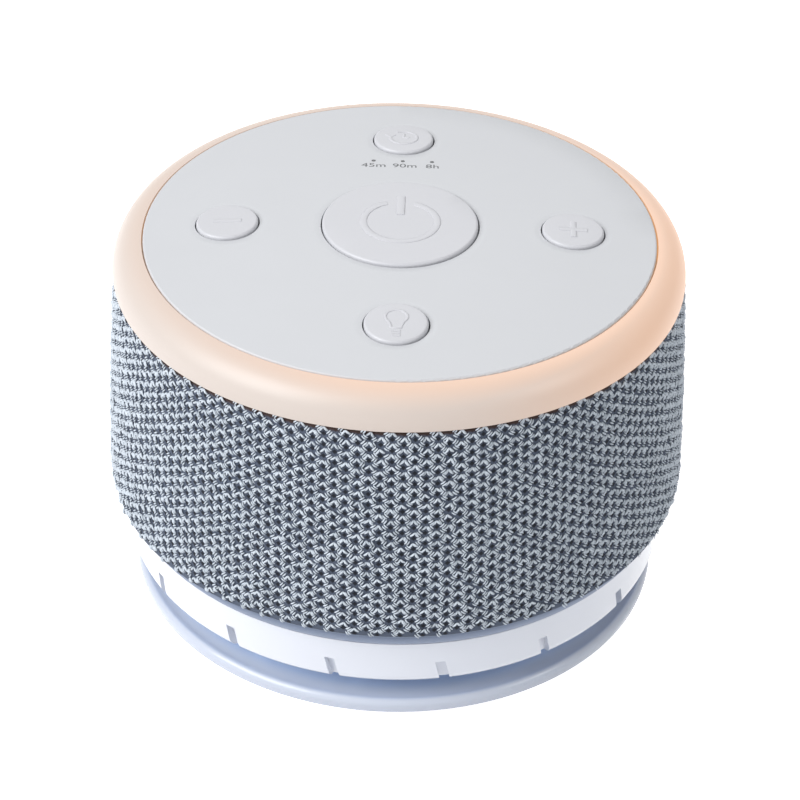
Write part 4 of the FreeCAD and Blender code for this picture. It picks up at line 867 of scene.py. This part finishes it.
def knit_tree() -> bpy.types.NodeTree:
    """Builds the tree that repeats a motif along a side curve and round the vertical axis."""
    found = bpy.data.node_groups.get("knit")
    if found:
        return found
    group = bpy.data.node_groups.new("knit", "GeometryNodeTree")
    face = group.interface
    face.new_socket("Cloth", in_out="OUTPUT", socket_type="NodeSocketGeometry")
    for name, kind in (("Motif", "Object"), ("Side", "Object"), ("Columns", "Int"),
                       ("Courses", "Int"), ("Course", "Float"), ("Rise", "Float"), ("Odd", "Int"),
                       ("Widest", "Float"), ("Seed", "Int"), ("Finish", "Material")):
        face.new_socket(name, in_out="INPUT", socket_type="NodeSocket" + kind)
    tree = Tree(group)
    given = tree.node("NodeGroupInput")
    size = {out.name: Wire(tree, out) for out in given.outputs if out.name}

    index = tree.wire("GeometryNodeInputIndex")
    column = index % size["Columns"]
    course = (index / size["Columns"] + NUDGE).floor()
    along = (course + ((column + size["Odd"]) % 2.0) * 0.5 + size["Rise"]) * size["Course"]
    side = tree.node("GeometryNodeObjectInfo", {"Object": size["Side"]})
    sample = tree.node("GeometryNodeSampleCurve",
                       {"Curves": side.outputs["Geometry"], "Length": along}, mode="LENGTH")
    angle = column / size["Columns"] * math.tau
    spot, up = Wire(tree, sample.outputs["Position"]), Wire(tree, sample.outputs["Tangent"])
    lean, _, climb = tree.parts(up)
    out = tree.join(climb, 0.0, lean * -1.0)

    def turned(vector: Wire) -> Wire:
        """The vector turned round the vertical axis to its column."""
        return tree.wire("ShaderNodeVectorRotate", {"Vector": vector, "Angle": angle},
                         rotation_type="Z_AXIS")

    points = tree.wire("GeometryNodePoints",
                       {"Count": size["Columns"] * size["Courses"], "Position": turned(spot)})
    facing = tree.wire("FunctionNodeAxesToRotation", {0: turned(out), 1: turned(up)},
                       primary_axis="Z", secondary_axis="Y")

    def chance(low: Any, high: Any, extra: int, kind: str = "FLOAT_VECTOR") -> bpy.types.Node:
        """A random value for each stitch."""
        first = {"FLOAT_VECTOR": 0, "FLOAT": 2}[kind]
        return tree.node("FunctionNodeRandomValue",
                         {first: low, first + 1: high, "Seed": size["Seed"] + extra},
                         data_type=kind)

    sway = tree.wire("FunctionNodeEulerToRotation", {0: chance(*SWAY, 1).outputs[0]})
    swayed = tree.wire("FunctionNodeRotateRotation", {0: facing, 1: sway},
                       rotation_space="LOCAL")
    swell = chance(*SWELL, 2).outputs[0]
    radius = tree.parts(spot)[0] / size["Widest"]
    shape = tree.wire("ShaderNodeVectorMath", {0: swell, 1: tree.join(radius, 1.0, 1.0)},
                      operation="MULTIPLY")
    motif = tree.node("GeometryNodeObjectInfo", {"Object": size["Motif"]})
    stitched = tree.wire("GeometryNodeInstanceOnPoints", {
        "Points": points, "Instance": motif.outputs["Geometry"], "Rotation": swayed,
        "Scale": shape})
    tone = chance(0.0, 1.0, 3, "FLOAT").outputs[1]
    toned = tree.wire("GeometryNodeStoreNamedAttribute",
                      {"Geometry": stitched, "Name": "tone", "Value": tone},
                      data_type="FLOAT", domain="INSTANCE")
    real = tree.wire("GeometryNodeRealizeInstances", {0: toned})
    clad = tree.wire("GeometryNodeSetMaterial", {"Geometry": real, "Material": size["Finish"]})
    tree.node("NodeGroupOutput", {0: clad})
    return group


# Signs on the buttons and the panel

class Dome:
    """The panel's top, which is part of a sphere, as its CAD solid gives it."""

    def __init__(self, rounding: float = 0.5 * MM) -> None:
        """Fits the sphere through the dome's edge and the rim of the hole in its middle.

        Args:
            rounding: The panel's rounded edge, outside the dome.
        """
        points = [v.co for v in frame["nodes"]["top_panel"].data.vertices]
        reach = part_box("top_panel")[1].x - rounding
        edge = max((p for p in points if p.xy.length > reach - 0.1 * MM), key=lambda p: p.z)
        rim = max(points, key=lambda p: p.z)
        self.centre = (edge.length_squared - rim.length_squared) / (2 * (edge.z - rim.z))
        self.radius = math.hypot(edge.xy.length, edge.z - self.centre)
        self.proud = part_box("power_button")[1].z - self.centre - self.radius

    def height(self, across: float, forward: float) -> float:
        """The panel's height at a place."""
        reach = across * across + forward * forward
        return self.centre + math.sqrt(self.radius ** 2 - reach)


# Each printed time, and how far to the right of its light it stands
TIMES = (("45m", 0.10 * MM), ("90m", 0.55 * MM), ("8h", 0.15 * MM))


@dataclass
class Signs:
    """Raised signs on the five buttons, and the printed times before the timer lights."""

    shop: Workshop
    dome: Dome
    stroke: float = 1.7 * MM
    rise: float = 0.17 * MM
    print_rise: float = 0.02 * MM
    letter: float = 2.72 * MM
    letter_stretch: float = 1.32
    label_gap: float = 2.45 * MM
    pipe_radius: float = 1.4 * MM

    def ridge(self, name: str, button: str, paths: Sequence[Sequence[Point]],
              width: float) -> None:
        """Raises low rounded ridges along flat paths on a button.

        Args:
            name: The piece's name.
            button: Which button.
            paths: Each path's points, from the button's middle.
            width: The ridges' width.
        """
        low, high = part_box(button + "_button")
        middle = (low + high) / 2
        flatten = self.rise / (width / 2)
        drawn = curve_of(name, [[(x, y, 0) for x, y in path] for path in paths])
        drawn.bevel_depth = width / 2
        drawn.bevel_resolution = 3
        drawn.use_fill_caps = True
        mesh = mesh_of(placed(name, drawn))
        for vertex in mesh.vertices:
            x, y = middle.x + vertex.co.x, middle.y + vertex.co.y
            vertex.co = (x, y, self.dome.height(x, y) + self.dome.proud + vertex.co.z * flatten)
        mesh.shade_smooth()
        self.shop.piece(name, mesh, Finish.button, button + "_key", "button")

    @staticmethod
    def bow(radius: float, start: float, end: float, steps: int,
            middle: Point = (0, 0)) -> list[Point]:
        """Points of an arc between two angles in degrees, counted from the right."""
        angles = [math.radians(start + (end - start) * i / steps) for i in range(steps + 1)]
        return [(middle[0] + radius * math.cos(a), middle[1] + radius * math.sin(a))
                for a in angles]

    def bulb(self) -> list[list[Point]]:
        """The light bulb: a closed outline of neck and glass, and three threads."""
        glass = self.bow(2.6 * MM, -48, 228, 30, (0, 2.0 * MM))
        left = [(-1.25 * MM, -1.6 * MM), (-1.15 * MM, -2.3 * MM)]
        right = [(1.15 * MM, -2.3 * MM), (1.25 * MM, -1.6 * MM)]
        threads = [[(-1.0 * MM, y * MM), (1.0 * MM, y * MM)] for y in (-3.4, -4.3, -5.2)]
        return [right + glass + left + right[:1], *threads]

    def build(self) -> None:
        """Makes the signs."""
        big, small = 9.03 * MM, 3.4 * MM
        bar = [(0, 2.9 * MM + 8.8 * MM * i / 6) for i in range(7)]
        level, upright = [(-small, 0), (small, 0)], [(0, -small), (0, small)]
        hand = [(0, 1.9 * MM), (0, 0), (1.4 * MM, 0)]
        arrow = [(-4.6 * MM, 1.6 * MM), (-3.4 * MM, 0.2 * MM), (-2.2 * MM, 1.6 * MM)]
        for name, button, paths, width in (
                ("power_sign_ring", "power", [self.bow(big, 113, 427, 90)], 1.84 * MM),
                ("power_sign_bar", "power", [bar], 2.2 * MM),
                ("minus_sign", "minus", [level], self.stroke),
                ("plus_sign", "plus", [level, upright], self.stroke),
                ("timer_sign", "timer", [self.bow(small, 180, 480, 50), hand, arrow], 0.8 * MM),
                ("light_sign", "light", self.bulb(), 0.7 * MM)):
            self.ridge(name, button, paths, width)
        self.print_times()

    def print_times(self) -> None:
        """Prints each time before its light."""
        low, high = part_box("timer_light_pipes")
        first, last = low.x + self.pipe_radius, high.x - self.pipe_radius
        for index, (words, aside) in enumerate(TIMES):
            drawn = bpy.data.curves.new("time_" + words, "FONT")
            drawn.body = words
            drawn.align_x = "CENTER"
            drawn.align_y = "CENTER"
            drawn.size = self.letter
            drawn.extrude = self.print_rise
            drawn.resolution_u = 4
            mesh = mesh_of(placed(drawn.name, drawn))
            middle = (first + (last - first) * index / (len(TIMES) - 1) + aside,
                      (low.y + high.y) / 2 - self.label_gap)
            for vertex in mesh.vertices:
                x = middle[0] + vertex.co.x * self.letter_stretch
                y = middle[1] + vertex.co.y
                vertex.co = (x, y, self.dome.height(x, y) + vertex.co.z)
            self.shop.piece("time_" + words, mesh, Finish.ink, "root", "panel")


# Everything that the CAD solids already show

@dataclass
class Casing:
    """The CAD nodes: each keeps its solid and takes its slot's finish."""

    shop: Workshop
    cap_reach: float = 2.0 * MM
    button_gap: float = 0.35 * MM

    def ring_finish(self) -> LitRing:
        """The light ring's finish, fitted to its solid."""
        low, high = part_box("light_ring")
        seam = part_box("fabric_sleeve")[1].z
        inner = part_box("top_panel")[1].x
        return LitRing("light_ring", seam, high.z, inner, high.x, skin=tint(175, 173, 171),
                       warm=(0.43, 0.187, 0.057), pale=(0.23, 0.15, 0.105))

    def lip_finish(self) -> Layered:
        """The lower housing's finish: its lip darkens upwards to the ridge under the fabric as
        painted shade, with a painted shadow line just under the ridge and a painted highlight on
        it.
        """
        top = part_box("fabric_sleeve")[0].z
        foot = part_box("tone_collar")[1].z
        line = top - 1.4 * MM
        # Painted shade by height: darker upwards under the fabric, a dark painted shadow line just
        # below the ridge line, and a lighter painted highlight on the ridge.
        return Layered("lip", tint(140, 153, 178), 0.5, clouds=0.02, layers=(
            (foot, tint(152, 163, 186)), (foot + 1.6 * MM, tint(130, 143, 168)),
            (line - 0.5 * MM, tint(108, 122, 148)), (line - 0.1 * MM, tint(70, 83, 112)),
            (line + 0.15 * MM, tint(134, 148, 172)), (top, tint(91, 104, 130))))

    def base_finish(self) -> Layered:
        """The foot's finish: a pale rim, and a neck in the gap under the collar that is painted
        with blue shade.
        """
        rim, neck = 4.3 * MM, 9.0 * MM
        # Painted shade: above the rim the colour turns a deeper blue up the neck, under the
        # collar.
        return Layered("base", tint(184, 191, 208), 0.55, clouds=0.02, coat=0.7, layers=(
            (0.0, tint(184, 191, 208)), (rim, tint(193, 200, 214)),
            (rim + 0.9 * MM, tint(172, 192, 225)), (neck, tint(138, 178, 238))))

    def panel_finish(self) -> Dished:
        """The panel's finish, with a dish round every button."""
        holes = []
        for name, node in frame["nodes"].items():
            if not name.endswith("_button"):
                continue
            low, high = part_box(name)
            middle = (low + high) / 2
            places = [vertex.co for vertex in node.data.vertices]
            rim = max(place.z for place in places)
            cap = max((p - middle).xy.length for p in places if p.z > rim - self.cap_reach)
            holes.append((middle.x, middle.y, cap + self.button_gap))
        panel = Finish.panel.value
        return Dished("panel", panel.colour, panel.roughness, holes=tuple(holes))

    def build(self) -> None:
        """Dresses every node and smooths what is round."""
        slots = {row["node"]: row["material_slot"] for row in frame["record"]["subparts"]}
        fitted = {"light_ring": self.ring_finish(), "top_panel": self.panel_finish(),
                  "lower_housing": self.lip_finish(), "base_foot": self.base_finish()}
        smooth = smooth_tree()
        for name, node in frame["nodes"].items():
            if name == "fabric_sleeve":
                continue
            finish = fitted.get(name) or Finish[slots[name]]
            node.data.materials.clear()
            node.data.materials.append(self.shop.material(finish))
            node.modifiers.new("smooth", "NODES").node_group = smooth
        log.info("%d nodes dressed", len(frame["nodes"]))


def smooth_tree(limit: float = 28.0) -> bpy.types.NodeTree:
    """Builds the tree that closes a CAD mesh's seams and shades it smooth up to an angle.

    Args:
        limit: The angle in degrees past which an edge stays sharp.

    Returns:
        The tree.
    """
    group = bpy.data.node_groups.new("smooth_by_angle", "GeometryNodeTree")
    group.interface.new_socket("Mesh", in_out="INPUT", socket_type="NodeSocketGeometry")
    group.interface.new_socket("Mesh", in_out="OUTPUT", socket_type="NodeSocketGeometry")
    tree = Tree(group)
    given = tree.node("NodeGroupInput")
    merged = tree.wire("GeometryNodeMergeByDistance",
                       {"Geometry": given.outputs[0], "Distance": 0.001 * MM})
    even = tree.wire("GeometryNodeSetShadeSmooth", {"Geometry": merged, "Shade Smooth": True},
                     domain="FACE")
    sharp = tree.wire("GeometryNodeInputMeshEdgeAngle").math("GREATER_THAN", math.radians(limit))
    creased = tree.wire("GeometryNodeSetShadeSmooth",
                        {"Geometry": even, "Selection": sharp, "Shade Smooth": False},
                        domain="EDGE")
    tree.node("NodeGroupOutput", {0: creased})
    return group


# Studio

@dataclass
class Studio:
    """The camera at the photograph's angle, a pale floor and soft light."""

    fall: float = 35.65
    turn: float = 0.55
    distance: float = 667 * MM
    aside: float = -0.85 * MM
    above: float = 41.0 * MM
    roll: float = 1.2
    lens: float = 122.6
    ring_to_panel: float = 0.3 * MM
    floor_size: float = 8.0
    floor_glow: float = 0.9
    world_light: float = 0.35
    aim: float = 50 * MM

    def camera(self) -> None:
        """Places the camera by its place relative to the middle of the light ring's top."""
        fall, roll, turn = (math.radians(side) for side in (self.fall, self.roll, self.turn))
        right = Vector((math.cos(turn), math.sin(turn), 0))
        back = Vector((-math.sin(turn), math.cos(turn), 0))
        ahead = back * math.cos(fall) - Vector((0, 0, math.sin(fall)))
        up = right.cross(ahead)
        middle = Vector((0, 0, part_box("light_ring")[1].z + self.ring_to_panel))
        place = middle - right * self.aside - up * self.above - ahead * self.distance
        rolled = right * math.cos(roll) + up * math.sin(roll)
        upright = up * math.cos(roll) - right * math.sin(roll)
        data = bpy.data.cameras.new("camera")
        data.lens = self.lens
        data.sensor_width = 36
        data.clip_start, data.clip_end = 0.01, 50
        camera = placed("camera", data)
        camera.matrix_world = Matrix((rolled, upright, -ahead)).transposed().to_4x4()
        camera.location = place
        bpy.context.scene.camera = camera

    def floor(self) -> None:
        """Lays a plain pale floor that looks white to the camera and in reflections."""
        half = self.floor_size / 2
        mesh = bpy.data.meshes.new("floor")
        mesh.from_pydata([(-half, -half, 0), (half, -half, 0), (half, half, 0), (-half, half, 0)],
                         [], [(0, 1, 2, 3)])
        paint = Paint("floor")
        glow = paint.mix(paint.looked_at(), (0.0, 0.0, 0.0), (1.0, 1.0, 1.0))
        paint.set(Base_Color=(0.8, 0.8, 0.81), Roughness=0.9, Emission_Strength=self.floor_glow,
                  Emission_Color=glow)
        mesh.materials.append(paint.material)
        placed("floor", mesh)

    def lamp(self, name: str, place: Colour, size: float, power: float) -> None:
        """Hangs a square soft white lamp that faces the object.

        Args:
            name: The lamp's name.
            place: Where it hangs.
            size: Its side.
            power: Its power in watts.
        """
        data = bpy.data.lights.new(name, "AREA")
        data.size = size
        data.energy = power
        made = placed(name, data)
        made.location = place
        look = Vector((0, 0, self.aim)) - Vector(place)
        made.rotation_euler = look.to_track_quat("-Z", "Y").to_euler()

    def world(self) -> None:
        """Surrounds the object with even pale light, which looks white behind it."""
        made = bpy.data.worlds.new("studio")
        made.use_nodes = True
        tree = Tree(made.node_tree)
        made.node_tree.nodes.clear()
        strength = tree.looked_at() * (1 - self.world_light) + self.world_light
        light = tree.wire("ShaderNodeBackground",
                          {"Color": (1, 1, 1, 1), "Strength": strength})
        tree.node("ShaderNodeOutputWorld", {"Surface": light})
        bpy.context.scene.world = made

    def build(self) -> None:
        """Sets the whole studio up."""
        self.camera()
        self.floor()
        self.world()
        self.lamp("key", (-1.35, -0.78, 1.3), 1.3, 40.0)
        self.lamp("fill", (1.3, -0.6, 1.1), 0.6, 5.5)
        self.lamp("back", (0.2, 1.4, 1.3), 1.2, 5.0)
        bpy.context.scene.view_settings.view_transform = "Standard"


def main() -> None:
    """Builds the studio and the object's looks."""
    logging.basicConfig(level=logging.INFO, format="%(name)s: %(message)s")
    Studio().build()
    shop = Workshop()
    Casing(shop).build()
    Sleeve(shop).build()
    Signs(shop, Dome()).build()


if __name__ == "__main__":
    main()
